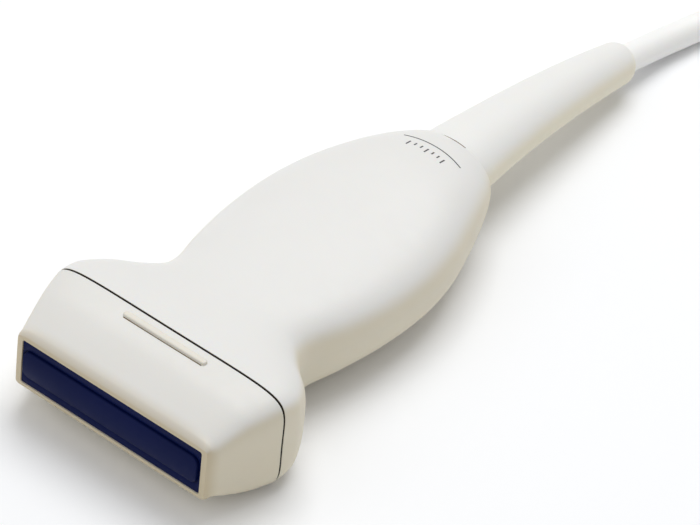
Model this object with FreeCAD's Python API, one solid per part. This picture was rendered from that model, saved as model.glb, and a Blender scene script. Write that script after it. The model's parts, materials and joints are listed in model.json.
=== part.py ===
"""Hand-held linear-array ultrasound probe of a veterinary scanner, with its cable and plug.

Every piece is built in one frame, in millimetres: X is the long axis of the acoustic lens, Y runs from
the lens to the cable, Z is up and z = 0 is the table. Stations along Y are measured from a datum just
in front of the lens, and save() moves each piece so that Y = 0 is halfway along the probe.
"""
import FreeCAD
import Part
import math
import os

from FreeCAD import Vector

# ---------------------------------------------------------------- driving dimensions
MID_Z = 11.8             # height of the probe's middle plane above the table
PROBE_FRONT = 0.9        # station of the crown of the lens
PROBE_REAR = 160.0       # station of the tip of the bend relief

LENS_X = 44.2            # acoustic window, long side
LENS_Z = 10.5            # acoustic window, short side
LENS_CORNER = 0.45
LENS_DEPTH = 0.9
LENS_LIP = 0.45          # rim of the nose round the lens
CROWN_RISE = 0.7         # the raised cylindrical strip on the lens, at its middle
CROWN_STEP = 0.3         # and at its edges
CROWN_X = 43.0
CROWN_Z = 6.4
CROWN_CORNER = 1.6
FACE_Y = PROBE_FRONT + CROWN_RISE    # station of the flat border of the lens
LIP_Y = FACE_Y - 0.2                 # station of the nose's front edge
APERTURE_X = 38.0        # active length of the array
APERTURE_Z = 7.0         # active height, which sets the slice thickness
ELEMENTS = 64

SEAM_Y = 17.5            # rear edge of the nose shell
SEAM_GAP = 0.5           # thickness of the dark seal in the seam
HANDLE_END = 103.0       # rear rim of the handle
WALL = 2.0
FIT = 0.15               # clearance of bonded and sliding parts
SPIGOT_END = 21.8        # the nose's spigot reaches into the handle to here
SEAL_RECESS = 0.1        # the seal's outside below the surface
RIB_Y = 15.1             # raised finger mark on top of the nose
RIB_X = 0.8              # its middle, a little off the probe's axis
RIB_HALF_X = 10.1
RIB_HALF_Y = 0.65
RIB_PROUD = 0.55

SQUARE = 1.09            # corner fullness of a rounded rectangle
OVAL = 0.5523            # corner fullness of an ellipse

# station, half width, half thickness above and below the middle plane, corner fullness
NOSE = [
    (LIP_Y, 23.3, 6.0, 6.0, SQUARE),
    (1.9, 23.7, 6.65, 6.65, SQUARE),
    (2.7, 24.05, 7.3, 7.3, SQUARE),
    (9.9, 26.2, 10.3, 10.3, SQUARE),
    (13.7, 27.3, 11.05, 11.2, SQUARE),
    (SEAM_Y, 28.2, 11.5, 11.7, SQUARE),
]
HANDLE = [
    (SEAM_Y + SEAM_GAP, 28.2, 11.5, 11.7, SQUARE),
    (20.2, 28.45, 11.25, 11.55, 1.07),
    (22.5, 28.25, 11.0, 11.35, 1.05),
    (27.0, 25.9, 10.5, 11.0, 0.98),
    (31.0, 21.5, 10.1, 10.8, 0.91),
    (35.0, 18.2, 9.8, 10.6, 0.86),
    (39.5, 17.9, 9.6, 10.5, 0.82),
    (47.0, 19.7, 9.3, 10.6, 0.80),
    (58.0, 21.4, 9.1, 11.0, 0.78),
    (70.0, 21.5, 9.2, 11.5, 0.77),
    (80.0, 19.9, 9.6, 11.75, 0.75),
    (88.0, 17.3, 9.7, 11.2, 0.72),
    (95.0, 14.6, 9.0, 9.6, 0.68),
    (100.0, 12.2, 8.0, 8.2, 0.62),
    (HANDLE_END, 10.2, 7.1, 7.2, 0.58),
]

BOOT_ROOT_X = 9.0        # half width of the oval bend relief at the rim
BOOT_ROOT_Z = 6.2
BOOT_TIP_R = 4.65
BOOT_LIFT = 0.4          # the boot's axis above the middle plane
BOOT_LENGTH = 56.7       # along its bent axis, from the rim
BOOT_BEND_R = 260.0      # the relief droops under the weight of the cable

LAYER_T = 0.25           # each acoustic matching layer
FOIL_T = 0.1
FOIL_HALF_Z = 4.2
PIEZO_T = 0.35
BACKING_T = 8.0
FRAME_Y0, FRAME_Y1 = 5.8, 14.5
FRAME_X = 42.4
FRAME_Z = 11.2
FLEX_T = 0.15

BOARD_Y0, BOARD_Y1 = 22.5, 66.0
BOARD_HALF_X = 14.0
BOARD_Z = 2.9            # inner face of each interconnect board from the middle plane
BOARD_T = 0.8
SPACERS = [(x, y) for x in (-11.5, 11.5) for y in (36.0, 62.0)]
EAR_SCREWS = [(x, 25.0) for x in (-12.0, 12.0)]
BOARD_HOLE_R = 0.8
POST_BORE_R = 0.75
POST_R = 1.6
SOCKET_Y0, SOCKET_Y1 = 29.45, 33.0
SOCKET_HALF_X = 8.6
DOWELS = [(side * 18.9, y) for side in (-1, 1) for y in (58.0, 70.0)]
DOWEL_R = 0.5
SHIELD_Y0, SHIELD_Y1 = 31.0, 80.0
SHIELD_GAP = 0.5         # between the wall and the shield
SHIELD_T = 0.3
STUB_Y0 = 80.0           # where the jacket of the cable ends inside the handle
CLAMP_Y0, CLAMP_Y1 = 83.5, 88.5
CLAMP_HALF_X = 7.5
CLAMP_HALF_Z = 6.0
FERRULE_R = 4.0
FLANGE_Y0, FLANGE_Y1 = 94.8, 97.8
BOOT_Z = MID_Z + BOOT_LIFT

CABLE_D = 6.0
CABLE_R = CABLE_D / 2
TIE_T = 0.6              # strap round the coil, which also lies under it
COIL_CENTRE = (-2.0, 242.5)
COIL_LAYERS = 4
COIL_COLUMNS = 2
COIL_MEAN_R = 5 * CABLE_D
COIL_OUTER_R = COIL_MEAN_R + CABLE_D * COIL_COLUMNS / 2
COIL_INNER_R = COIL_MEAN_R - CABLE_D * COIL_COLUMNS / 2
LAST_TURN_R = COIL_OUTER_R - CABLE_R
ENTRY_ANGLE = -45.0      # where the lead runs onto the outermost turn, in degrees from +X
EXIT_ANGLE = 35.0        # where the tail leaves the top turn

PLUG_X = 46.0            # plug housing
PLUG_Y = 60.0
PLUG_WALL = 2.0
SHROUD_X = 34.0
SHROUD_Y = 48.0
SHROUD_DEPTH = 8.0       # the shroud's rim is the plug's mating face
SHROUD_WALL = 1.6
PLUG_PART_Z = 19.0       # parting plane of the housing, and the cable's axis
PLUG_TOP = 30.0
BLOCK_FACE = 7.0         # contact face, above the mating face
PLUG_BOOT = 24.0
PLUG_SCREW_X = 18.9
PLUG_SCREW_Y = 25.9
SHAFT_R = 3.4
SHAFT_TIP_R = 2.9        # pilot of the lock shaft, which enters the socket first
SHAFT_TIP_Z = 0.8
SHAFT_PILOT = 3.2
LUG_Z0, LUG_Z1 = 4.4, 6.4
LUG_X = 2.0
LUG_Y = 12.0
BUSH_R = 5.2
RUNNING = 0.05           # radial clearance of the lock shaft in its bush
KNOB_R = 14.0
KNOB_TOP = 41.5

TAIL_RUN = 21.5          # the tail leaves the coil along a tangent, then turns to +Y
EXIT = math.radians(EXIT_ANGLE)
PLUG_CX = COIL_CENTRE[0] + LAST_TURN_R * math.cos(EXIT) - TAIL_RUN * math.sin(EXIT)
TAIL_END_Y = COIL_CENTRE[1] + LAST_TURN_R * math.sin(EXIT) + TAIL_RUN * (math.cos(EXIT) + 1)
PLUG_CY = TAIL_END_Y + PLUG_BOOT + PLUG_Y / 2

saved = []


def save(name, shape):
    """Write one sub-part, shifted to the frame whose Y = 0 is the middle of the probe."""
    moved = shape.copy()
    moved.translate(Vector(0, -(PROBE_FRONT + PROBE_REAR) / 2, 0))
    if not moved.isValid() or min(solid.Volume for solid in moved.Solids) <= 0:
        raise ValueError(name + " is not a sound solid")
    moved.exportStep("parts/" + name + ".step")
    saved.append(name)
    box = moved.BoundBox
    print("%-26s %2d solids %9.2f mm3  x %7.2f %7.2f  y %7.2f %7.2f  z %6.2f %6.2f" % (
        name, len(moved.Solids), moved.Volume, box.XMin, box.XMax, box.YMin, box.YMax, box.ZMin, box.ZMax))


# ---------------------------------------------------------------- shape helpers
def block(x0, x1, y0, y1, z0, z1):
    return Part.makeBox(x1 - x0, y1 - y0, z1 - z0, Vector(x0, y0, z0))


def rod(x, y, z0, z1, radius):
    return Part.makeCylinder(radius, z1 - z0, Vector(x, y, z0))


def rod_y(x, z, y0, y1, radius):
    return Part.makeCylinder(radius, y1 - y0, Vector(x, y0, z), Vector(0, 1, 0))


def rounded_plate(cx, cy, size_x, size_y, z0, z1, corner):
    """A plate standing on z0 with rounded vertical edges."""
    plate = block(cx - size_x / 2, cx + size_x / 2, cy - size_y / 2, cy + size_y / 2, z0, z1)
    uprights = [e for e in plate.Edges if abs(e.tangentAt(e.FirstParameter).z) > 0.9]
    return plate.makeFillet(corner, uprights)


def plate_xz(size_x, size_z, y0, y1, corner):
    """A plate across the probe, centred on its middle plane, with rounded corners."""
    plate = block(-size_x / 2, size_x / 2, y0, y1, MID_Z - size_z / 2, MID_Z + size_z / 2)
    along = [e for e in plate.Edges if abs(e.tangentAt(e.FirstParameter).y) > 0.9]
    return plate.makeFillet(corner, along)


def section(origin, side, up, half_x, above, below, fullness):
    """A closed outline of four Bezier quarters, from an ellipse to a rounded rectangle."""
    right, left = side * half_x, side * -half_x
    top, bottom = up * above, up * -below
    corners = [(right, top), (left, top), (left, bottom), (right, bottom)]
    edges = []
    for index, (level, rise) in enumerate(corners):
        start, end = (level, rise) if index % 2 == 0 else (rise, level)
        curve = Part.BezierCurve()
        curve.setPoles([
            origin + start,
            origin + start + end * fullness,
            origin + end + start * fullness,
            origin + end,
        ])
        edges.append(curve.toShape())
    return Part.Wire(edges)


def across(row, shrink=0.0):
    """The outline of a row of NOSE or HANDLE, drawn in by shrink."""
    y, half_x, above, below, fullness = row
    return section(Vector(0, y, MID_Z), Vector(1, 0, 0), Vector(0, 0, 1),
                   half_x - shrink, above - shrink, below - shrink, fullness)


def at(rows, y):
    """The row of a table at any station, between the two rows beside it."""
    for low, high in zip(rows, rows[1:]):
        if y <= high[0]:
            break
    share = (y - low[0]) / (high[0] - low[0])
    return (y,) + tuple(a + (b - a) * share for a, b in zip(low[1:], high[1:]))


def loft(wires):
    return Part.makeLoft(wires, True, False)


def cut_along(rows, shrink, start, end):
    """A solid that fills the handle between two stations, drawn in from its outside by shrink."""
    inner = [row for row in rows if start < row[0] < end]
    stations = [at(rows, start)] + inner + [at(rows, end)]
    return loft([across(row, shrink) for row in stations])


def ring_z(x, y, z0, z1, inner, outer):
    return rod(x, y, z0, z1, outer).cut(rod(x, y, z0, z1, inner))


def sheet(profile, thickness, half_x):
    """A thin sheet across the probe that follows a polyline of (y, z), thickened upwards."""
    upper = [Vector(-half_x, y, z + thickness) for y, z in reversed(profile)]
    lower = [Vector(-half_x, y, z) for y, z in profile]
    outline = Part.makePolygon(lower + upper + lower[:1])
    return Part.Face(outline).extrude(Vector(2 * half_x, 0, 0))


def outline_at(y, z, half_x, half_z, fullness):
    """An outline across the Y axis, centred on the middle of the probe."""
    return section(Vector(0, y, z), Vector(1, 0, 0), Vector(0, 0, 1), half_x, half_z, half_z, fullness)


def mirrored(shape):
    """The same piece on the other side of the probe's middle plane."""
    return shape.mirror(Vector(0, 0, MID_Z), Vector(0, 0, 1))


def cap_screw(x, y, z_head, length, down, shank=0.7, head=1.3, head_h=1.0):
    """A small cap screw whose head sits on z_head, pointing down or up."""
    way = -1 if down else 1
    axis = Vector(0, 0, way)
    shape = Part.makeCylinder(shank, length, Vector(x, y, z_head), axis)
    shape = shape.fuse(Part.makeCylinder(head, head_h, Vector(x, y, z_head), axis * -1))
    socket = Part.makeCylinder(head * 0.45, head_h * 0.6, Vector(x, y, z_head - way * head_h), axis)
    return shape.cut(socket)


def screw_pairs(places, length):
    """A screw through the upper board and one through the lower board at each place."""
    rise = BOARD_Z + BOARD_T
    return [cap_screw(x, y, MID_Z + side * rise, length, side > 0) for x, y in places for side in (1, -1)]


def group(shapes):
    return Part.makeCompound(shapes)


# ---------------------------------------------------------------- array module
def array_module():
    lens = plate_xz(LENS_X, LENS_Z, FACE_Y, FACE_Y + LENS_DEPTH, LENS_CORNER)
    strip = plate_xz(CROWN_X, CROWN_Z, PROBE_FRONT, FACE_Y, CROWN_CORNER)
    domed = CROWN_RISE - CROWN_STEP
    crown_r = ((CROWN_Z / 2) ** 2 + domed ** 2) / (2 * domed)
    axis = Vector(-CROWN_X / 2, PROBE_FRONT + crown_r, MID_Z)
    crown = Part.makeCylinder(crown_r, CROWN_X, axis, Vector(1, 0, 0))
    save("acoustic_lens", lens.fuse(strip.common(crown)).removeSplitter())

    y = FACE_Y + LENS_DEPTH
    layer_x, layer_z = APERTURE_X + 3, APERTURE_Z + 0.6
    for name in ("outer_matching_layer", "inner_matching_layer"):
        save(name, plate_xz(layer_x, layer_z, y, y + LAYER_T, 0.3))
        y += LAYER_T

    foil_half_x, foil_end = layer_x / 2, 12.0
    front = block(-foil_half_x, foil_half_x, y, y + FOIL_T, MID_Z - FOIL_HALF_Z, MID_Z + FOIL_HALF_Z)
    wing = block(-foil_half_x, foil_half_x, y, foil_end, MID_Z + FOIL_HALF_Z - FOIL_T, MID_Z + FOIL_HALF_Z)
    save("ground_foil", front.fuse([wing, mirrored(wing)]).removeSplitter())
    y += FOIL_T

    pitch = APERTURE_X / ELEMENTS
    kerf = 0.15 * pitch
    half_z = APERTURE_Z / 2
    elements = []
    for index in range(ELEMENTS):
        left = -APERTURE_X / 2 + index * pitch + kerf / 2
        elements.append(block(left, left + pitch - kerf, y, y + PIEZO_T, MID_Z - half_z, MID_Z + half_z))
    save("piezo_elements", group(elements))
    y += PIEZO_T
    backing_z = 2 * (FOIL_HALF_Z - FOIL_T) - 0.1
    save("backing_block", plate_xz(APERTURE_X + 2, backing_z, y, y + BACKING_T, 0.4))


def array_frame():
    """The frame round the backing, with two ears that carry the front of both boards."""
    ring = plate_xz(FRAME_X, FRAME_Z, FRAME_Y0, FRAME_Y1, 2.4)
    window = plate_xz(APERTURE_X + 3.2, 9.5, FRAME_Y0 - 1, FRAME_Y1 + 1, 0.5)
    ear_half_x, ear_end = 2.0, 27.0
    ears = [block(x - ear_half_x, x + ear_half_x, FRAME_Y1 - 0.5, ear_end, MID_Z - BOARD_Z, MID_Z + BOARD_Z)
            for x, _ in EAR_SCREWS]
    bridge_half_x, bridge_half_z, bridge_t = FRAME_X / 2 - 0.3, 4.0, 1.6
    bridge = block(-bridge_half_x, bridge_half_x, FRAME_Y1 - bridge_t, FRAME_Y1,
                   MID_Z - bridge_half_z, MID_Z + bridge_half_z)
    frame = ring.cut(window).fuse([bridge] + ears).removeSplitter()
    holes = [rod(x, y, MID_Z - BOARD_Z, MID_Z + BOARD_Z, POST_BORE_R) for x, y in EAR_SCREWS]
    save("array_frame", frame.cut(group(holes)))
    save("array_screws", group(screw_pairs(EAR_SCREWS, 2.4)))

    beside_foil, on_board = MID_Z + FOIL_HALF_Z + FLEX_T, MID_Z + BOARD_Z + BOARD_T + 0.05
    flex = sheet([(5.0, beside_foil), (16.0, beside_foil), (24.0, on_board), (SOCKET_Y0 - 0.05, on_board)],
                 FLEX_T, SOCKET_HALF_X + 0.2)
    save("array_flex_upper", flex)
    save("array_flex_lower", mirrored(flex))


# ---------------------------------------------------------------- probe housing
def orientation_rib():
    """The raised finger mark on top of the nose, parallel to the seam."""
    top = MID_Z + at(NOSE, RIB_Y)[2]
    foot, crest = top - 0.8, top + RIB_PROUD
    straight = RIB_HALF_X - RIB_HALF_Y
    slope = (NOSE[-1][2] - NOSE[-2][2]) / (NOSE[-1][0] - NOSE[-2][0])
    bar = block(RIB_X - straight, RIB_X + straight, RIB_Y - RIB_HALF_Y, RIB_Y + RIB_HALF_Y, foot, crest)
    ends = [rod(RIB_X + side * straight, RIB_Y, foot, crest, RIB_HALF_Y) for side in (-1, 1)]
    rib = bar.fuse(ends).removeSplitter()
    rib.rotate(Vector(0, RIB_Y, top), Vector(1, 0, 0), math.degrees(math.atan(slope)))
    return rib


def nose_shell():
    spigot = loft([
        across((SEAM_Y - 0.5,) + HANDLE[0][1:], WALL + FIT),
        across((SEAM_Y + SEAM_GAP,) + HANDLE[0][1:], WALL + FIT),
        across(at(HANDLE, SPIGOT_END), WALL + FIT),
    ])
    seat = plate_xz(LENS_X, LENS_Z, FACE_Y - 1, FACE_Y + LENS_DEPTH, LENS_CORNER)
    pocket = plate_xz(43.0, 9.0, FACE_Y + LENS_DEPTH - 0.1, 6.0, 0.6)
    hollow = loft([
        across((4.4, 22.4, 6.1, 6.1, SQUARE)),
        across((SEAM_Y, 24.3, 8.0, 8.0, SQUARE)),
        across((SPIGOT_END + 1, 24.0, 7.1, 7.4, SQUARE)),
    ])
    lip_x, lip_z = LENS_X + 2 * LENS_LIP, LENS_Z + 2 * LENS_LIP
    lip = plate_xz(lip_x, lip_z, LIP_Y + 0.05, 4.0, LENS_CORNER + LENS_LIP)
    nose = loft([across(row) for row in NOSE]).fuse([lip, spigot, orientation_rib()])
    save("nose_shell", nose.cut(seat).cut(pocket).cut(hollow).removeSplitter())

    rim = (SEAM_Y,) + NOSE[-1][1:]
    edge = (SEAM_Y + SEAM_GAP,) + NOSE[-1][1:]
    seal = loft([across(rim, SEAL_RECESS), across(edge, SEAL_RECESS)])
    save("seam_gasket", seal.cut(loft([across(rim, WALL), across(edge, WALL)])))


def handle_shells():
    """Both halves of the handle, which dowels line up before they are bonded."""
    body = loft([across(row) for row in HANDLE])
    front = HANDLE[0]
    cavity = loft([across((front[0] - 1,) + front[1:], WALL)]
                  + [across(row, WALL) for row in HANDLE if row[0] < 98]
                  + [across(at(HANDLE, 98.3), WALL)])
    mouth = loft([outline_at(y, BOOT_Z, BOOT_ROOT_X + FIT, BOOT_ROOT_Z + FIT, OVAL)
                  for y in (97.0, HANDLE_END + 1)])
    shell = body.cut(cavity).cut(mouth)
    far = 60.0
    above = block(-far, far, 0, HANDLE_END + 1, MID_Z, MID_Z + far)
    below = block(-far, far, 0, HANDLE_END + 1, MID_Z - far, MID_Z)
    pins = [rod(x, y, MID_Z - 1.2, MID_Z + 1.2, DOWEL_R) for x, y in DOWELS]
    sockets = [rod(x, y, MID_Z - 0.1, MID_Z + 1.5, DOWEL_R + 0.1) for x, y in DOWELS]
    stems = [rod(x, y, MID_Z - 4.0, MID_Z, 2 * DOWEL_R) for x, y in DOWELS]
    caps = [rod(x, y, MID_Z, MID_Z + 4.0, 2 * DOWEL_R + 0.2) for x, y in DOWELS]
    inside = cut_along(HANDLE, WALL / 4, HANDLE[0][0], 98.0)
    upper = shell.common(above).fuse(group(caps).common(inside)).cut(group(sockets))
    lower = shell.common(below).fuse(group(stems).common(inside)).fuse(pins)
    save("handle_upper_shell", upper.removeSplitter())
    save("handle_lower_shell", lower.removeSplitter())


# ---------------------------------------------------------------- inside the handle
def electronics():
    outer_face = MID_Z + BOARD_Z + BOARD_T
    board = block(-BOARD_HALF_X, BOARD_HALF_X, BOARD_Y0, BOARD_Y1, MID_Z + BOARD_Z, outer_face)
    board = board.cut(group([rod(x, y, 0, 2 * MID_Z, BOARD_HOLE_R) for x, y in SPACERS + EAR_SCREWS]))
    save("interconnect_board_upper", board)
    save("interconnect_board_lower", mirrored(board))

    socket = block(-SOCKET_HALF_X, SOCKET_HALF_X, SOCKET_Y0, SOCKET_Y1, outer_face, outer_face + 1.5)
    save("flex_sockets", group([socket, mirrored(socket)]))

    posts = [ring_z(x, y, MID_Z - BOARD_Z, MID_Z + BOARD_Z, POST_BORE_R, POST_R) for x, y in SPACERS]
    save("board_spacers", group(posts))
    save("board_screws", group(screw_pairs(SPACERS, 3.4)))

    drawn_in = WALL + SHIELD_GAP
    outside = cut_along(HANDLE, drawn_in, SHIELD_Y0, SHIELD_Y1)
    inside = loft([across((SHIELD_Y0 - 0.5,) + at(HANDLE, SHIELD_Y0)[1:], drawn_in + SHIELD_T)]
                  + [across(row, drawn_in + SHIELD_T) for row in HANDLE if SHIELD_Y0 < row[0] < SHIELD_Y1]
                  + [across((SHIELD_Y1 + 0.5,) + at(HANDLE, SHIELD_Y1)[1:], drawn_in + SHIELD_T)])
    notches = [rod(x, y, 0, 2 * MID_Z, 4 * DOWEL_R - 0.1) for x, y in DOWELS]
    save("emi_shield", outside.cut(inside).cut(group(notches)))


def coax_looms():
    """The micro-coax of each board, gathered from a flat fan into the cable."""
    fan_y, waist_y = BOARD_Y1 - 2, BOARD_Y1 + 8
    fan_rise = BOARD_Z + BOARD_T + 0.75
    for name, side in (("coax_loom_upper", 1), ("coax_loom_lower", -1)):
        save(name, loft([
            outline_at(fan_y, MID_Z + side * fan_rise, 9.0, 0.7, SQUARE),
            outline_at(waist_y, MID_Z + side * (fan_rise - 1.0), 5.0, 1.0, 0.8),
            outline_at(STUB_Y0, BOOT_Z + side * 1.4, 1.9, 1.2, OVAL),
        ]))


# ---------------------------------------------------------------- cable exit of the probe
def boot_frame(s):
    """Centre and upward direction of the relief's cross-section, s along its axis from the rim."""
    angle = max(s, 0.0) / BOOT_BEND_R
    centre = Vector(0, HANDLE_END + min(s, 0.0) + BOOT_BEND_R * math.sin(angle),
                    BOOT_Z - BOOT_BEND_R * (1 - math.cos(angle)))
    return centre, Vector(0, math.sin(angle), math.cos(angle))


def boot_section(s, half_x, half_z, fullness=OVAL):
    centre, up = boot_frame(s)
    return section(centre, Vector(1, 0, 0), up, half_x, half_z, half_z, fullness)


def round_sweep(edges, radius):
    """A round bar along edges, with a section square to their start."""
    path = Part.Wire(edges)
    start = edges[0].valueAt(edges[0].FirstParameter)
    way = edges[0].tangentAt(edges[0].FirstParameter)
    ring = Part.Wire([Part.makeCircle(radius, start, way)])
    return path.makePipeShell([ring], True, False)


def cable_exit():
    root, tip = boot_frame(0)[0], boot_frame(BOOT_LENGTH)[0]
    middle = boot_frame(BOOT_LENGTH / 2)[0]
    stub_start = Vector(0, STUB_Y0, BOOT_Z)
    path = [Part.LineSegment(stub_start, root).toShape(), Part.Arc(root, middle, tip).toShape()]
    save("cable_inner_end", round_sweep(path, CABLE_R))

    taper_end = BOOT_LENGTH - 2.6
    taper = []
    for share in (0.0, 1 / 3, 2 / 3, 1.0):
        half_x = BOOT_ROOT_X + (BOOT_TIP_R - BOOT_ROOT_X) * share
        half_z = BOOT_ROOT_Z + (BOOT_TIP_R - BOOT_ROOT_Z) * share
        taper.append(boot_section(share * taper_end, half_x, half_z))
    rounding = ((taper_end, BOOT_TIP_R), (BOOT_LENGTH - 0.6, 4.35), (BOOT_LENGTH, 3.6))
    rounded = [boot_section(s, r, r) for s, r in rounding]
    neck = [boot_section(s, BOOT_ROOT_X, BOOT_ROOT_Z) for s in (-5.2, 0.0)]
    flange = [outline_at(y, MID_Z, 10.7, 5.8, OVAL) for y in (FLANGE_Y0, FLANGE_Y1)]
    boot = loft(taper).fuse([loft(rounded), loft(neck), loft(flange)])
    save("strain_relief", boot.cut(round_sweep(path, CABLE_R)).removeSplitter())

    keeper = loft([outline_at(y, MID_Z, 10.9, 6.2, 0.7) for y in (FLANGE_Y0 - 1.5, FLANGE_Y0 - 0.1)])
    save("boot_retaining_plate", keeper.cut(bore_y(CABLE_R + 0.2)))


def bore_y(radius):
    """A cutter along the cable's axis through everything inside the handle."""
    return rod_y(0, BOOT_Z, STUB_Y0 - 1, HANDLE_END, radius)


def cable_anchor():
    """The crimped ferrule on the jacket and the two-piece clamp that holds it."""
    save("cable_ferrule", rod_y(0, BOOT_Z, CLAMP_Y0 - 1, CLAMP_Y1 + 1.5, FERRULE_R).cut(bore_y(CABLE_R)))

    clamp = block(-CLAMP_HALF_X, CLAMP_HALF_X, CLAMP_Y0, CLAMP_Y1, MID_Z - CLAMP_HALF_Z, MID_Z + CLAMP_HALF_Z)
    split = block(-CLAMP_HALF_X, CLAMP_HALF_X, CLAMP_Y0, CLAMP_Y1, BOOT_Z - 0.2, BOOT_Z + 0.2)
    screws = [(side * 5.8, (CLAMP_Y0 + CLAMP_Y1) / 2) for side in (-1, 1)]
    seat_z = MID_Z + CLAMP_HALF_Z - 1.4
    top = MID_Z + CLAMP_HALF_Z + 1
    holes = group([rod(x, y, MID_Z - 5.0, top, 0.85) for x, y in screws])
    wells = group([rod(x, y, seat_z, top, 1.5) for x, y in screws])
    clamp = clamp.cut(bore_y(FERRULE_R)).cut(split).cut(holes).cut(wells)
    halves = sorted(clamp.Solids, key=lambda solid: solid.CenterOfMass.z)
    save("cable_clamp_saddle", halves[0])
    save("cable_clamp_cap", halves[-1])
    save("clamp_screws", group([cap_screw(x, y, seat_z, 8.8, True) for x, y in screws]))


# ---------------------------------------------------------------- the free cable
def on_turn(angle, radius, z):
    """A point of a turn of the coil, by its angle from +X."""
    a = math.radians(angle)
    return Vector(COIL_CENTRE[0] + radius * math.cos(a), COIL_CENTRE[1] + radius * math.sin(a), z)


def heading(angle, distance):
    """A step along the table, angle from +Y towards +X."""
    a = math.radians(angle)
    return Vector(distance * math.sin(a), distance * math.cos(a), 0)


def cord_tube(points):
    """A round tube of straight runs, with the largest arc that each corner's two runs allow."""
    edges, start, radii = [], points[0], []
    for before, corner, after in zip(points, points[1:], points[2:]):
        to_last, to_next = (before - corner), (after - corner)
        shorter = min(to_last.Length, to_next.Length)
        half_turn = (math.pi - to_last.getAngle(to_next)) / 2
        radius = 0.45 * shorter / math.tan(half_turn)
        radii.append(radius)
        enter = corner + to_last.normalize() * (0.45 * shorter)
        leave = corner + to_next.normalize() * (0.45 * shorter)
        to_centre = (to_last + to_next).normalize()
        middle = corner + to_centre * (radius / math.cos(half_turn) - radius)
        edges += [Part.LineSegment(start, enter).toShape(), Part.Arc(enter, middle, leave).toShape()]
        start = leave
    edges.append(Part.LineSegment(start, points[-1]).toShape())
    tube = round_sweep(edges, CABLE_R)
    length = sum(edge.Length for edge in edges)
    print("radii", ["%.1f" % r for r in radii], "length %.1f" % length,
          "volume / (section x length) %.4f" % (tube.Volume / (math.pi * CABLE_R ** 2 * length)))
    return tube, length


def free_cable():
    tip, up = boot_frame(BOOT_LENGTH)
    droop = Vector(0, up.z, -up.y)
    entry = on_turn(ENTRY_ANGLE, LAST_TURN_R, TIE_T + CABLE_R)
    lead = [
        tip,
        tip + droop * 10.5,
        Vector(2.0, 181.2, CABLE_R),
        Vector(5.2, 196.0, CABLE_R),
        entry - heading(-ENTRY_ANGLE, 13.0) - Vector(0, 0, TIE_T),
        entry,
    ]
    tube, lead_length = cord_tube(lead)
    save("cable_lead", tube)

    coil_z = TIE_T + COIL_LAYERS * CABLE_D
    coil = ring_z(COIL_CENTRE[0], COIL_CENTRE[1], TIE_T, coil_z, COIL_INNER_R, COIL_OUTER_R)
    save("cable_coil", coil)
    tie_x0, tie_x1 = COIL_CENTRE[0] - COIL_OUTER_R - 0.1, COIL_CENTRE[0] - COIL_INNER_R + 0.9
    tie_y0, tie_y1 = COIL_CENTRE[1] - 6.0, COIL_CENTRE[1] + 6.0
    strap = block(tie_x0 - TIE_T, tie_x1 + TIE_T, tie_y0, tie_y1, 0, coil_z + TIE_T)
    save("coil_tie", strap.cut(block(tie_x0, tie_x1, tie_y0 - 1, tie_y1 + 1, TIE_T, coil_z)))

    leave = on_turn(EXIT_ANGLE, LAST_TURN_R, coil_z - CABLE_R)
    corner = leave + heading(-EXIT_ANGLE, TAIL_RUN)
    corner.z = PLUG_PART_Z
    tube, tail_length = cord_tube([leave, corner, corner + Vector(0, TAIL_RUN, 0)])
    save("cable_tail", tube)
    turns = COIL_LAYERS * COIL_COLUMNS - 1 + (EXIT_ANGLE - ENTRY_ANGLE) / 360
    wound = turns * 2 * math.pi * COIL_MEAN_R
    print("free cable %.0f mm, of which %.0f mm is in %.2f turns" % (
        lead_length + wound + tail_length, wound, turns))


# ---------------------------------------------------------------- plug of the scanner
def plug_block(x, y, z0, z1):
    """A box centred on the plug, x by y wide."""
    return block(PLUG_CX - x / 2, PLUG_CX + x / 2, PLUG_CY - y / 2, PLUG_CY + y / 2, z0, z1)


def plug_plate(x, y, z0, z1, corner):
    return rounded_plate(PLUG_CX, PLUG_CY, x, y, z0, z1, corner)


def plug_rod(dx, dy, z0, z1, radius):
    return rod(PLUG_CX + dx, PLUG_CY + dy, z0, z1, radius)


def four(dx, dy):
    return [(sx * dx, sy * dy) for sx in (-1, 1) for sy in (-1, 1)]


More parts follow.
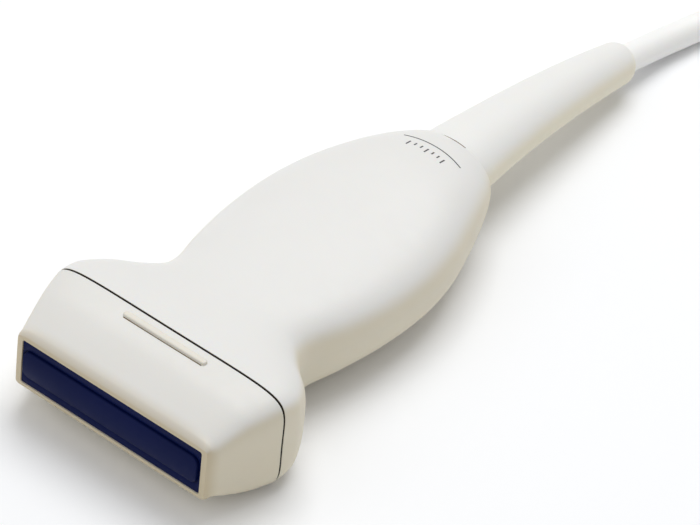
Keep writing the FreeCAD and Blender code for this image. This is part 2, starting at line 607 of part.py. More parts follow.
def plug_housing():
    front = PLUG_CY - PLUG_Y / 2
    outer = plug_plate(PLUG_X, PLUG_Y, SHROUD_DEPTH, PLUG_TOP, 7.0)
    rims = [e for e in outer.Edges if abs(e.tangentAt(e.FirstParameter).z) < 0.01
            and (e.BoundBox.ZMin > PLUG_TOP - 0.1 or e.BoundBox.ZMax < SHROUD_DEPTH + 0.1)]
    outer = outer.makeFillet(2.0, rims)
    inner = plug_plate(PLUG_X - 2 * PLUG_WALL, PLUG_Y - 2 * PLUG_WALL,
                       SHROUD_DEPTH + PLUG_WALL, PLUG_TOP - PLUG_WALL, 5.0)
    neck = rod_y(PLUG_CX, PLUG_PART_Z, front - 1, front + PLUG_WALL + 1, 6.0 + FIT)
    window = plug_block(SHROUD_X + 2 * FIT, SHROUD_Y + 2 * FIT, 0, SHROUD_DEPTH + PLUG_WALL + 0.5)
    shell = outer.cut(inner).cut(neck).cut(window)
    screws = four(PLUG_SCREW_X, PLUG_SCREW_Y)
    columns = group([plug_rod(x, y, SHROUD_DEPTH + 1.0, PLUG_TOP - 1.0, 2.2) for x, y in screws])
    shell = shell.fuse(columns.common(outer)).cut(window)
    shell = shell.cut(group([plug_rod(x, y, SHROUD_DEPTH - 1, 25.0, 1.05) for x, y in screws]))
    shell = shell.cut(group([plug_rod(x, y, SHROUD_DEPTH - 1, SHROUD_DEPTH + 2.2, 1.95) for x, y in screws]))
    shell = shell.cut(plug_rod(0, 0, PLUG_PART_Z, PLUG_TOP + 1, BUSH_R))
    save("plug_lower_shell", shell.common(plug_block(90, 90, 0, PLUG_PART_Z)).removeSplitter())
    save("plug_upper_shell", shell.common(plug_block(90, 90, PLUG_PART_Z, 60)).removeSplitter())
    heads = SHROUD_DEPTH + 2.2
    save("plug_shell_screws", group([
        cap_screw(PLUG_CX + x, PLUG_CY + y, heads, 13.5, False, 1.0, 1.9, 1.9) for x, y in screws]))

    shroud = plug_plate(SHROUD_X, SHROUD_Y, 0, SHROUD_DEPTH + 5.0, 3.0)
    seat_z = SHROUD_DEPTH + PLUG_WALL + 0.6
    flange = plug_plate(SHROUD_X + 2.0, SHROUD_Y + 2.0, seat_z, SHROUD_DEPTH + 3.8, 3.0)
    bore = plug_plate(SHROUD_X - 2 * SHROUD_WALL, SHROUD_Y - 2 * SHROUD_WALL, -1, 20, 1.6)
    save("plug_shroud", shroud.fuse(flange).cut(bore).removeSplitter())


def plug_contacts():
    wide, long = SHROUD_X - 2 * SHROUD_WALL - 0.1, SHROUD_Y - 2 * SHROUD_WALL - 0.1
    body = plug_plate(wide, long, BLOCK_FACE, BLOCK_FACE + 6.0, 1.5)
    save("contact_block", body.cut(plug_rod(0, 0, 0, 20, SHAFT_R + 0.5)))
    pads = []
    for column in (-13.5, -10.5, -7.5, 7.5, 10.5, 13.5):
        for row in range(16):
            y = (row - 7.5) * 2.7
            pads.append(block(PLUG_CX + column - 0.9, PLUG_CX + column + 0.9, PLUG_CY + y - 0.6,
                              PLUG_CY + y + 0.6, BLOCK_FACE - 0.25, BLOCK_FACE))
    save("contact_pads", group(pads))
    board_z = BLOCK_FACE + 6.6
    board = plug_plate(36.0, 48.0, board_z, board_z + 1.2, 2.0).cut(plug_rod(0, 0, 0, 30, 5.4))
    corners = [plug_rod(x, y, 0, 30, 2.6) for x, y in four(PLUG_SCREW_X, PLUG_SCREW_Y)]
    save("plug_board", board.cut(group(corners)))
    posts = [plug_rod(x, y, BLOCK_FACE + 6.0, board_z, 1.4) for x, y in four(13.5, 20.5)]
    save("plug_board_spacers", group(posts))
    can_z = board_z + 1.3
    can = plug_block(37.0, 45.0, can_z, can_z + 10.4).cut(plug_block(36.2, 44.2, can_z - 1, can_z + 10.0))
    can = can.cut(plug_rod(0, 0, 0, 60, BUSH_R + 1.2))
    can = can.cut(rod_y(PLUG_CX, PLUG_PART_Z, PLUG_CY - 40, PLUG_CY, 5.2))
    save("plug_shield_can", can)
    parts = []
    for side in (-1, 1):
        x0, y0 = PLUG_CX + side * 1.4, TAIL_END_Y + PLUG_BOOT + 11.3
        wires = [
            Vector(x0, y0, PLUG_PART_Z),
            Vector(x0 + side * 6.0, y0 + 10.0, PLUG_PART_Z - 0.5),
            Vector(x0 + side * 9.5, y0 + 26.0, PLUG_PART_Z - 1.5),
        ]
        edges = [Part.LineSegment(a, b).toShape() for a, b in zip(wires, wires[1:])]
        way = (wires[1] - wires[0]).normalize()
        path = Part.Wire(edges)
        ring = Part.Wire([Part.makeCircle(1.2, wires[0], way)])
        parts.append(path.makePipeShell([ring], True, False, 2))
    save("plug_coax_looms", group(parts))


def plug_cable_entry():
    tip = TAIL_END_Y
    front = tip + PLUG_BOOT
    cone = Part.makeCone(4.6, 7.4, PLUG_BOOT - 1.0, Vector(PLUG_CX, tip + 1.0, PLUG_PART_Z), Vector(0, 1, 0))
    nose = Part.makeCone(3.7, 4.6, 1.0, Vector(PLUG_CX, tip, PLUG_PART_Z), Vector(0, 1, 0))
    neck = rod_y(PLUG_CX, PLUG_PART_Z, front - 0.5, front + PLUG_WALL + 0.6, 6.0)
    flange = rod_y(PLUG_CX, PLUG_PART_Z, front + PLUG_WALL + 0.3, front + PLUG_WALL + 1.8, 6.9)
    boot = cone.fuse([nose, neck, flange])
    save("plug_boot", boot.cut(rod_y(PLUG_CX, PLUG_PART_Z, tip - 1, front + 9, CABLE_R)).removeSplitter())
    save("plug_cable_end", rod_y(PLUG_CX, PLUG_PART_Z, tip, front + 10.3, CABLE_R))
    ferrule = rod_y(PLUG_CX, PLUG_PART_Z, front + 4.6, front + 9.0, 4.0)
    save("plug_cable_ferrule", ferrule.cut(rod_y(PLUG_CX, PLUG_PART_Z, front, front + 12, CABLE_R)))


# ---------------------------------------------------------------- quarter-turn lock of the plug
def lock():
    bush_z0, bush_z1 = PLUG_TOP - 4.5, PLUG_TOP + 0.6
    bush = ring_z(PLUG_CX, PLUG_CY, bush_z0, bush_z1, SHAFT_R + RUNNING, BUSH_R)
    save("shaft_bush", bush)

    shaft_top = PLUG_TOP + 7.0
    pilot = plug_rod(0, 0, SHAFT_TIP_Z, SHAFT_TIP_Z + SHAFT_PILOT, SHAFT_TIP_R)
    neck = plug_rod(0, 0, SHAFT_TIP_Z + SHAFT_PILOT, LUG_Z0, SHAFT_TIP_R - 0.4)
    shaft = plug_rod(0, 0, LUG_Z0, shaft_top, SHAFT_R).fuse([pilot, neck])
    groove_z, groove_t, groove_r = bush_z0 - 2.2, 0.8, SHAFT_R - 0.7
    washer_z = groove_z + groove_t
    groove = ring_z(PLUG_CX, PLUG_CY, groove_z, washer_z, groove_r, SHAFT_R + 1)
    screw_hole = plug_rod(0, 0, shaft_top - 6.0, shaft_top + 1, 1.25)
    lugs = plug_block(LUG_X, LUG_Y, LUG_Z0, LUG_Z1)
    save("lock_shaft", shaft.cut(groove).cut(screw_hole).cut(lugs))
    save("lock_lugs", lugs)

    clip = ring_z(PLUG_CX, PLUG_CY, groove_z, washer_z, groove_r, SHAFT_R + 1.6)
    opening = block(PLUG_CX - 1.6, PLUG_CX + 1.6, PLUG_CY, PLUG_CY + 8, groove_z - 1, washer_z + 1)
    save("retaining_clip", clip.cut(opening))
    save("wave_washer", ring_z(PLUG_CX, PLUG_CY, washer_z, bush_z0 - 0.3, SHAFT_R + 0.1, SHAFT_R + 1.5))

    skirt_z = PLUG_TOP + 0.9
    disc = plug_rod(0, 0, skirt_z, PLUG_TOP + 5.0, KNOB_R)
    disc = disc.makeFillet(1.0, [e for e in disc.Edges if e.BoundBox.ZMin > PLUG_TOP + 4.9])
    grip = plug_plate(8.0, 2 * KNOB_R - 1.0, PLUG_TOP + 4.0, KNOB_TOP, 3.9)
    grip = grip.makeFillet(1.0, [e for e in grip.Edges if e.BoundBox.ZMin > KNOB_TOP - 0.1])
    knob = disc.fuse(grip)
    knob = knob.cut(plug_rod(0, 0, skirt_z - 1, shaft_top, SHAFT_R))
    knob = knob.cut(plug_rod(0, 0, shaft_top - 1, KNOB_TOP + 1, 1.6))
    knob = knob.cut(plug_rod(0, 0, KNOB_TOP - 2.4, KNOB_TOP + 1, 2.8))
    save("lock_knob", knob.removeSplitter())
    save("knob_screw", cap_screw(PLUG_CX, PLUG_CY, KNOB_TOP - 2.4, 6.5, True, 1.2, 2.6, 2.0))


def main():
    os.makedirs("parts", exist_ok=True)
    array_module()
    array_frame()
    nose_shell()
    handle_shells()
    electronics()
    coax_looms()
    cable_exit()
    cable_anchor()
    free_cable()
    plug_housing()
    plug_contacts()
    plug_cable_entry()
    lock()
    print(len(saved), "nodes")


main()
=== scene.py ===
"""Looks of the hand-held ultrasound probe, its cable and its plug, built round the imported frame."""
import json
import math

import bmesh
import bpy
from mathutils import Matrix, Vector


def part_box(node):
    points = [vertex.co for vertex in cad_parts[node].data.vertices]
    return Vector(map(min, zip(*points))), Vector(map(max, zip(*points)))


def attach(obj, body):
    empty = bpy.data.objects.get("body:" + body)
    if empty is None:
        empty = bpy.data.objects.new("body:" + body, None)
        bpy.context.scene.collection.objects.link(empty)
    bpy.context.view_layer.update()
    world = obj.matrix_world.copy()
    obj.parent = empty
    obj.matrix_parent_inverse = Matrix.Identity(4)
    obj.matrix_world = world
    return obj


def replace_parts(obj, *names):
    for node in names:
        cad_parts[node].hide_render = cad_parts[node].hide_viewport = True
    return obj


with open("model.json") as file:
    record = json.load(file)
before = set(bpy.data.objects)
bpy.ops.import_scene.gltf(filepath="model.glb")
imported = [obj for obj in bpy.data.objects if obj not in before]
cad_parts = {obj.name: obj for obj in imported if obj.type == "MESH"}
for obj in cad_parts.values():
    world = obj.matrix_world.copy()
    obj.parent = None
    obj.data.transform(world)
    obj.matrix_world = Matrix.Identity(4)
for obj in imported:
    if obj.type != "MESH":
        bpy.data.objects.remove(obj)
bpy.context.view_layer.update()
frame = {"nodes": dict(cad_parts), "record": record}

MM = 0.001
QUARTER = 24             # points in a quarter of a section
SQUARE = 1.09            # corner fullness of a rounded rectangle
OVAL = 0.5523            # corner fullness of an ellipse

# ---------------------------------------------------------------- places read from the frame, in millimetres
def corners(node):
    """The low and the high corner of a CAD node's box."""
    low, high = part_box(node)
    return Vector(low) / MM, Vector(high) / MM


lens_low, lens_high = corners("acoustic_lens")
seal_low, seal_high = corners("seam_gasket")
coil_low, coil_high = corners("cable_coil")
shroud_low, shroud_high = corners("plug_shroud")
knob_low, knob_high = corners("lock_knob")
tie_low, tie_high = corners("coil_tie")
shell_low = corners("plug_lower_shell")[0]
shell_high = corners("plug_upper_shell")[1]

FRONT = 0.9                          # station of the crown of the lens
CROWN_RISE = 0.7
FACE = FRONT + CROWN_RISE            # station of the flat border of the lens
LIP = FACE - 0.2                     # station of the nose's front edge
DATUM_Y = lens_low.y - FRONT         # stations are measured from here
MID_Z = (lens_low.z + lens_high.z) / 2
LENS_HALF_X = lens_high.x
LENS_HALF_Z = (lens_high.z - lens_low.z) / 2
SEAM_FRONT = seal_low.y - DATUM_Y
SEAM_REAR = seal_high.y - DATUM_Y
COIL_X = (coil_low.x + coil_high.x) / 2
COIL_Y = (coil_low.y + coil_high.y) / 2
PLUG_X = (shroud_low.x + shroud_high.x) / 2
PLUG_Y = (shroud_low.y + shroud_high.y) / 2

# ---------------------------------------------------------------- sections of the housing
# station, half width, half thickness above and below the middle plane, corner fullness
NOSE = [
    (LIP, 23.3, 6.0, 6.0, SQUARE),
    (1.9, 23.7, 6.65, 6.65, SQUARE),
    (2.7, 24.05, 7.3, 7.3, SQUARE),
    (9.9, 26.2, 10.3, 10.3, SQUARE),
    (13.7, 27.3, 11.05, 11.2, SQUARE),
    (SEAM_FRONT, 28.2, 11.5, 11.7, SQUARE),
]
HANDLE = [
    (SEAM_REAR, 28.2, 11.5, 11.7, SQUARE),
    (20.2, 28.45, 11.25, 11.55, 1.07),
    (22.5, 28.25, 11.0, 11.35, 1.05),
    (27.0, 25.9, 10.5, 11.0, 0.98),
    (31.0, 21.5, 10.1, 10.8, 0.91),
    (35.0, 18.2, 9.8, 10.6, 0.86),
    (39.5, 17.9, 9.6, 10.5, 0.82),
    (47.0, 19.7, 9.3, 10.6, 0.80),
    (58.0, 21.4, 9.1, 11.0, 0.78),
    (70.0, 21.5, 9.2, 11.5, 0.77),
    (80.0, 19.9, 9.6, 11.75, 0.75),
    (88.0, 17.3, 9.7, 11.2, 0.72),
    (95.0, 14.6, 9.0, 9.6, 0.68),
    (100.0, 12.2, 8.0, 8.2, 0.62),
    (103.0, 10.2, 7.1, 7.2, 0.58),
]
HANDLE_END = HANDLE[-1][0]
WALL = 2.0
MOUTH_START = 96.0                   # where the hollow of the handle starts to narrow to the bend relief
MOUTH_RAMP = 2.0
MOUTH_GAP = 0.12
WINDOW_CORNER = 0.5                  # corner radius of the lens window
LIP_CORNER = 0.75                    # and of the nose's front edge round it
BOOT_ROOT_X = 9.0
BOOT_ROOT_Z = 6.2
BOOT_TIP_R = 4.65
BOOT_LIFT = 0.4
BOOT_LENGTH = 56.7
BOOT_BEND_R = 260.0

CABLE_D = 6.0
CABLE_R = CABLE_D / 2
TIE_T = 0.6
TIE_CORNER = 3.6
TURN_OUT = (coil_high.x - coil_low.x) / 2 - CABLE_R
TURN_IN = TURN_OUT - CABLE_D
ENTRY_ANGLE = -45.0
EXIT_ANGLE = 35.0
CROSSING_ANGLE = 180.0               # where the turns change place, under the tie
DROOP_RUN = 10.5                     # length of the route's run out of the bend relief
ENTRY_RUN = 13.0                     # of its run into the coil
TAIL_RUN = 21.5                      # and of its two runs from the coil to the plug's boot
PLUG_AXIS_Z = 19.0


def place(x, station, z):
    """A point in metres, from a station measured from the datum."""
    return Vector((x, station + DATUM_Y, z)) * MM


# ---------------------------------------------------------------- mesh helpers
def row_at(rows, station):
    """A row of a table at any station, by a smooth curve through its rows."""
    last = len(rows) - 1
    index = max(i for i in range(last) if station >= rows[i][0] or i == 0)
    before, start, end, after = (rows[min(max(i, 0), last)] for i in (index - 1, index, index + 1, index + 2))
    span = end[0] - start[0]
    t = (station - start[0]) / span
    values = []
    for b, s, e, a in zip(before[1:], start[1:], end[1:], after[1:]):
        slope = (e - s) / span
        rise = (e - b) / (end[0] - before[0]) if index > 0 else slope
        fall = (a - s) / (after[0] - start[0]) if index + 2 <= last else slope
        values.append((2 * t ** 3 - 3 * t ** 2 + 1) * s + (t ** 3 - 2 * t ** 2 + t) * span * rise
                      + (3 * t ** 2 - 2 * t ** 3) * e + (t ** 3 - t ** 2) * span * fall)
    return (station, *values)


def soft_corner(t, half_x, rise, fullness):
    """A Bezier quarter from (half_x, 0) to (0, rise)."""
    a, b, c, d = (1 - t) ** 3, 3 * (1 - t) ** 2 * t, 3 * (1 - t) * t ** 2, t ** 3
    return half_x * (a + b + c * fullness), rise * (b * fullness + c + d)


def tight_corner(t, half_x, rise, radius):
    """A quarter of a rectangle with a small corner radius, from (half_x, 0) to (0, rise)."""
    first, last = 0.4, 0.6
    if t < first:
        return half_x, (rise - radius) * t / first
    if t > last:
        return (half_x - radius) * (1 - t) / (1 - last), rise
    angle = (t - first) / (last - first) * math.pi / 2
    return half_x - radius + radius * math.cos(angle), rise - radius + radius * math.sin(angle)


def outline(half_x, above, below, corner, half=None, count=QUARTER):
    """Points (across, up) round a section from +X over the top; corner gives a quarter's point at t.
    half is None for the whole section, 1 for its upper half and -1 for its lower half."""
    points = []
    for quarter in range(4):
        side = 1 if quarter in (0, 3) else -1
        rise = above if quarter < 2 else below
        for step in range(count):
            t = step / count
            x, z = corner(1 - t if quarter % 2 else t, half_x, rise)
            points.append((side * x, z if quarter < 2 else -z))
    if half == 1:
        return points[:2 * count + 1]
    if half == -1:
        return points[2 * count:] + points[:1]
    return points


def new_piece(name, mesh, material, body="root", smooth_angle=35.0):
    """A piece with its mesh and material, riding on a body."""
    mesh.validate()
    mesh.set_sharp_from_angle(angle=math.radians(smooth_angle))
    piece = bpy.data.objects.new(name, mesh)
    bpy.context.scene.collection.objects.link(piece)
    piece.data.materials.append(material)
    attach(piece, body)
    return piece


def loft_mesh(name, rings, wrap=False):
    """A mesh through rings of points; wrap joins the last ring to the first, else both ends are closed."""
    count = len(rings[0])
    mesh = bpy.data.meshes.new(name)
    vertices = [point for ring in rings for point in ring]
    faces = []
    pairs = len(rings) if wrap else len(rings) - 1
    for r in range(pairs):
        a, b = r * count, (r + 1) % len(rings) * count
        for i in range(count):
            j = (i + 1) % count
            faces.append((a + i, a + j, b + j, b + i))
    if not wrap:
        faces.append(tuple(reversed(range(count))))
        faces.append(tuple(range((len(rings) - 1) * count, len(rings) * count)))
    mesh.from_pydata(vertices, [], faces)
    shell = bmesh.new()
    shell.from_mesh(mesh)
    bmesh.ops.recalc_face_normals(shell, faces=shell.faces)
    shell.to_mesh(mesh)
    shell.free()
    mesh.shade_smooth()
    return mesh


def join_meshes(name, meshes):
    """One mesh with all that several hold."""
    shell = bmesh.new()
    for mesh in meshes:
        shell.from_mesh(mesh)
    joined = bpy.data.meshes.new(name)
    shell.to_mesh(joined)
    shell.free()
    joined.shade_smooth()
    return joined


def stations(start, end, step):
    """Evenly spaced stations from start to end, no further apart than step."""
    count = max(1, math.ceil((end - start) / step))
    return [start + (end - start) * i / count for i in range(count + 1)]


def rolled_edge(station, radius, way, steps=5):
    """(station, drawn in) pairs round an edge at station; way is the sign of the side the solid lies on."""
    pairs = []
    for i in range(steps + 1):
        angle = math.pi / 2 * i / steps
        pairs.append((station + way * radius * (1 - math.sin(angle)), radius * (1 - math.cos(angle))))
    return pairs if way < 0 else list(reversed(pairs))


def skin_height(row, x):
    """Height of the upper surface above the table, in millimetres, on a row of NOSE or HANDLE."""
    _, half_x, above, _, fullness = row
    low, high = 0.0, 1.0
    for _ in range(40):
        middle = (low + high) / 2
        if soft_corner(middle, half_x, above, fullness)[0] > abs(x):
            low = middle
        else:
            high = middle
    return MID_Z + soft_corner(low, half_x, above, fullness)[1]


# ---------------------------------------------------------------- materials
MOTTLE_WAVES = 60.0                  # waves per metre of the mottled colour of a moulded skin
GLOSS_WAVES = 350.0                  # and of its uneven gloss
SINK_WAVES = 45.0                    # and of its slight waviness, as deep as SINK_DEPTH in metres
SINK_DEPTH = 0.00006
LIP_SHADE_REACH = 3.2                       # how far the painted shade behind the nose's front edge reaches


def material(name):
    """A new material with its shader and node tree."""
    made = bpy.data.materials.new(name)
    made.use_nodes = True
    return made, made.node_tree, made.node_tree.nodes["Principled BSDF"]


def noise(tree, scale, detail=3.0, stretch=None, roughness=0.5):
    """A noise texture in the row frame, whose scale is waves per metre; stretch scales X, Y and Z apart."""
    coordinates = tree.nodes.new("ShaderNodeTexCoord")
    texture = tree.nodes.new("ShaderNodeTexNoise")
    texture.inputs["Scale"].default_value = scale
    texture.inputs["Detail"].default_value = detail
    texture.inputs["Roughness"].default_value = roughness
    source = coordinates.outputs["Object"]
    if stretch:
        mapping = tree.nodes.new("ShaderNodeMapping")
        mapping.inputs["Scale"].default_value = stretch
        tree.links.new(source, mapping.inputs["Vector"])
        source = mapping.outputs["Vector"]
    tree.links.new(source, texture.inputs["Vector"])
    return texture.outputs["Fac"]


def ramp(tree, source, stops):
    """A colour ramp over source; stops are (position, colour)."""
    node = tree.nodes.new("ShaderNodeValToRGB")
    band = node.color_ramp
    for index, (position, colour) in enumerate(stops):
        stop = band.elements[index] if index < 2 else band.elements.new(position)
        stop.position = position
        stop.color = (*colour, 1.0)
    tree.links.new(source, node.inputs["Fac"])
    return node.outputs["Color"]


def spread(tree, source, low, high):
    """source mapped from the middle of a noise's range to low and high."""
    node = tree.nodes.new("ShaderNodeMapRange")
    node.inputs["From Min"].default_value = 0.3
    node.inputs["From Max"].default_value = 0.7
    node.inputs["To Min"].default_value = low
    node.inputs["To Max"].default_value = high
    tree.links.new(source, node.inputs["Value"])
    return node.outputs["Result"]


def bump(tree, shader, source, distance, strength=1.0, under=None):
    """A bump of source, over another bump if under gives one; distance is in metres."""
    node = tree.nodes.new("ShaderNodeBump")
    node.inputs["Distance"].default_value = distance
    node.inputs["Strength"].default_value = strength
    tree.links.new(source, node.inputs["Height"])
    if under:
        tree.links.new(under, node.inputs["Normal"])
    tree.links.new(node.outputs["Normal"], shader.inputs["Normal"])
    return node.outputs["Normal"]


def with_painted_shade(tree, colour, shade_colour, source, none_at, full_at):
    """Painted shade: colour, multiplied more and more by a shade colour as source goes from none_at to
    full_at.
    """
    share = tree.nodes.new("ShaderNodeMapRange")
    share.interpolation_type = "SMOOTHSTEP"
    share.inputs["From Min"].default_value = none_at
    share.inputs["From Max"].default_value = full_at
    tree.links.new(source, share.inputs["Value"])
    mix = tree.nodes.new("ShaderNodeMix")
    mix.data_type = "RGBA"
    mix.blend_type = "MULTIPLY"
    mix.inputs["B"].default_value = (*shade_colour, 1.0)
    tree.links.new(share.outputs["Result"], mix.inputs["Factor"])
    tree.links.new(colour, mix.inputs["A"])
    return mix.outputs["Result"]


def axis_of(tree, node, output, axis):
    """One axis of a vector that a node gives."""
    parts = tree.nodes.new("ShaderNodeSeparateXYZ")
    tree.links.new(tree.nodes.new(node).outputs[output], parts.inputs["Vector"])
    return parts.outputs[axis]


def moulded(name, light, dark, rough, texture_mm, depth_mm, subsurface=0.0, stretch=None, painted_side_shade=None,
            gloss=0.5, lip=None):
    """A moulded plastic or rubber: a little mottled in colour and gloss, with a fine eroded skin.
    Faces that look sideways or down, and the few millimetres behind the nose's front edge, can be given a
    darker, warmer colour: both are painted shade, not a colour of the plastic."""
    made, tree, shader = material(name)
    colour = ramp(tree, noise(tree, MOTTLE_WAVES, 4.0), [(0.3, dark), (0.7, light)])
    # painted shade: a darker, warmer colour on faces that look sideways or down, by their normal
    if painted_side_shade:
        colour = with_painted_shade(tree, colour, painted_side_shade, axis_of(tree, "ShaderNodeNewGeometry", "Normal", "Z"), 0.8, 0.2)
    # painted shade: a darker, warmer band over the few millimetres behind the nose's front edge
    if lip:
        station = axis_of(tree, "ShaderNodeTexCoord", "Object", "Y")
        colour = with_painted_shade(tree, colour, lip, station, (LIP + LIP_SHADE_REACH + DATUM_Y) * MM, (LIP + DATUM_Y) * MM)
    tree.links.new(colour, shader.inputs["Base Color"])
    gloss_marks = spread(tree, noise(tree, GLOSS_WAVES, 3.0), rough - 0.05, rough + 0.05)
    tree.links.new(gloss_marks, shader.inputs["Roughness"])
    waves = bump(tree, shader, noise(tree, SINK_WAVES, 2.0), SINK_DEPTH, 0.6)
    bump(tree, shader, noise(tree, 1000.0 / texture_mm, 2.0, stretch), depth_mm * MM, 0.7, waves)
    shader.inputs["Specular IOR Level"].default_value = gloss
    if subsurface:
        shader.inputs["Subsurface Weight"].default_value = subsurface
        shader.inputs["Subsurface Radius"].default_value = (1.0, 0.65, 0.35)
        shader.inputs["Subsurface Scale"].default_value = 0.0015
    return made


def metal(name, light, dark, rough, stretch=(1.0, 1.0, 1.0)):
    """A metal with drawn or turned marks along the axis whose stretch is small."""
    made, tree, shader = material(name)
    marks = noise(tree, 1800.0, 4.0, stretch)
    tree.links.new(ramp(tree, marks, [(0.3, dark), (0.7, light)]), shader.inputs["Base Color"])
    tree.links.new(spread(tree, marks, rough - 0.08, rough + 0.08), shader.inputs["Roughness"])
    shader.inputs["Metallic"].default_value = 1.0
    bump(tree, shader, marks, 0.00002, 0.5)
    return made


def woven(name, light, dark):
    """The woven back of a hook-and-loop strap."""
    made, tree, shader = material(name)
    coordinates = tree.nodes.new("ShaderNodeTexCoord")
    waves = []
    for direction in ("Y", "Z"):
        wave = tree.nodes.new("ShaderNodeTexWave")
        wave.wave_type = "BANDS"
        wave.bands_direction = direction
        wave.inputs["Scale"].default_value = 420.0
        wave.inputs["Distortion"].default_value = 1.0
        tree.links.new(coordinates.outputs["Object"], wave.inputs["Vector"])
        waves.append(wave.outputs["Fac"])
    both = tree.nodes.new("ShaderNodeMath")
    both.operation = "MULTIPLY"
    tree.links.new(waves[0], both.inputs[0])
    tree.links.new(waves[1], both.inputs[1])
    tree.links.new(ramp(tree, both.outputs[0], [(0.1, dark), (0.8, light)]), shader.inputs["Base Color"])
    shader.inputs["Roughness"].default_value = 0.85
    shader.inputs["Sheen Weight"].default_value = 0.3
    bump(tree, shader, both.outputs[0], 0.00015)
    return made


PAINTED_SIDE_SHADE = (0.93, 0.865, 0.71)          # painted shade: darker, warmer colour of the faces that look sideways or down
# painted shade on the bend relief's faces that look sideways or down
BOOT_PAINTED_SIDE_SHADE = (1.0, 0.945, 0.79)
# the housing's ivory, with painted shade on the faces that look sideways or down
IVORY = moulded("ivory_plastic", (0.775, 0.768, 0.745), (0.765, 0.757, 0.732), 0.48, 0.22, 0.012, 0.12,
                painted_side_shade=PAINTED_SIDE_SHADE)
# the nose's ivory, with painted shade on its sides and a painted shade band behind its front edge
NOSE_IVORY = moulded("ivory_nose_plastic", (0.745, 0.734, 0.70), (0.735, 0.723, 0.688), 0.48, 0.22, 0.012,
                     0.12, painted_side_shade=PAINTED_SIDE_SHADE, lip=(0.83, 0.78, 0.69))
# painted shade: the rib is the nose's own plastic, given this darker, warmer copy of its ivory
SHADED_MARK_IVORY = moulded("ivory_mark_painted_shade", (0.745, 0.71, 0.63), (0.735, 0.70, 0.62), 0.48, 0.22, 0.012, 0.12)
# the bend relief's rubber, with painted shade on its faces that look sideways or down
BOOT = moulded("ivory_elastomer", (0.81, 0.805, 0.78), (0.80, 0.794, 0.768), 0.55, 0.18, 0.010, 0.15,
               painted_side_shade=BOOT_PAINTED_SIDE_SHADE)
JACKET = moulded("cable_jacket", (0.90, 0.895, 0.875), (0.885, 0.88, 0.86), 0.42, 0.5, 0.012, 0.15)
NAVY = moulded("navy_silicone", (0.002, 0.0065, 0.056), (0.0015, 0.0055, 0.046), 0.38, 0.3, 0.006, gloss=0.06)
SEAL = moulded("dark_sealant", (0.016, 0.011, 0.008), (0.010, 0.008, 0.006), 0.7, 0.2, 0.01, gloss=0.1)
# painted shadow: the dark strips along the rib's foot and along the bend relief's joint
PAINTED_SHADOW_BROWN = moulded("brown_shadow", (0.20, 0.15, 0.09), (0.15, 0.11, 0.065), 0.8, 0.2, 0.01)
INK = moulded("grey_ink", (0.085, 0.085, 0.09), (0.06, 0.06, 0.065), 0.6, 0.1, 0.004)
STRAP = woven("tie_strap", (0.10, 0.10, 0.11), (0.02, 0.02, 0.024))
GREY_PLASTIC = moulded("plug_plastic", (0.74, 0.73, 0.69), (0.70, 0.69, 0.65), 0.5, 0.25, 0.018, 0.05)
KNOB_PLASTIC = moulded("knob_plastic", (0.075, 0.08, 0.09), (0.05, 0.054, 0.062), 0.45, 0.25, 0.015)
BLACK_PLASTIC = moulded("connector_plastic", (0.035, 0.035, 0.038), (0.02, 0.02, 0.022), 0.5, 0.3, 0.01)
EPOXY = moulded("cast_epoxy", (0.33, 0.28, 0.20), (0.27, 0.23, 0.16), 0.5, 0.4, 0.01)
BACKING = moulded("filled_epoxy", (0.08, 0.08, 0.09), (0.05, 0.05, 0.06), 0.7, 0.3, 0.03)
CERAMIC = moulded("fired_ceramic", (0.62, 0.57, 0.46), (0.52, 0.47, 0.37), 0.4, 0.1, 0.01)
LAMINATE = moulded("board_laminate", (0.03, 0.19, 0.09), (0.018, 0.13, 0.06), 0.3, 0.6, 0.02)
FILM = moulded("amber_film", (0.50, 0.26, 0.05), (0.40, 0.20, 0.04), 0.25, 0.8, 0.01)
COAX = moulded("coax_jacket", (0.34, 0.35, 0.40), (0.24, 0.25, 0.30), 0.45, 0.6, 0.08, 0.0, (1.0, 0.12, 1.0))
STEEL = metal("stainless_steel", (0.62, 0.62, 0.63), (0.48, 0.48, 0.50), 0.32, (1.0, 1.0, 0.15))
ALLOY = metal("nickel_plate", (0.66, 0.67, 0.69), (0.55, 0.56, 0.58), 0.30, (1.0, 1.0, 0.3))
TINPLATE = metal("tinplate", (0.66, 0.67, 0.66), (0.55, 0.56, 0.55), 0.38, (0.1, 1.0, 1.0))
COPPER = metal("rolled_copper", (0.80, 0.42, 0.26), (0.68, 0.34, 0.20), 0.35, (1.0, 0.1, 1.0))
BRASS = metal("turned_brass", (0.80, 0.62, 0.30), (0.66, 0.48, 0.20), 0.30, (1.0, 1.0, 0.3))
GOLD = metal("gold_plate", (0.92, 0.72, 0.32), (0.84, 0.62, 0.24), 0.22, (1.0, 0.3, 1.0))

SLOT_MATERIALS = {
    "housing_plastic": IVORY, "lens_silicone": NAVY, "matching_epoxy": EPOXY, "copper_foil": COPPER,
    "piezo_ceramic": CERAMIC, "backing_epoxy": BACKING, "frame_aluminium": ALLOY, "flex_film": FILM,
    "seal_rubber": SEAL, "board_laminate": LAMINATE, "connector_plastic": BLACK_PLASTIC,
    "brass_posts": BRASS, "steel": STEEL, "coax_jacket": COAX, "cable_jacket": JACKET,
    "boot_rubber": BOOT, "tie_fabric": STRAP, "plug_plastic": GREY_PLASTIC, "shroud_metal": ALLOY,
    "gold_pads": GOLD, "shield_tinplate": TINPLATE, "knob_plastic": KNOB_PLASTIC,
}


def finish_cad_nodes():
    """Every node that stays in view gets the material of its slot."""
    slots = {row["node"]: row["material_slot"] for row in frame["record"]["subparts"]}
    for name, node in frame["nodes"].items():
        node.data.materials.clear()
        node.data.materials.append(SLOT_MATERIALS[slots[name]])


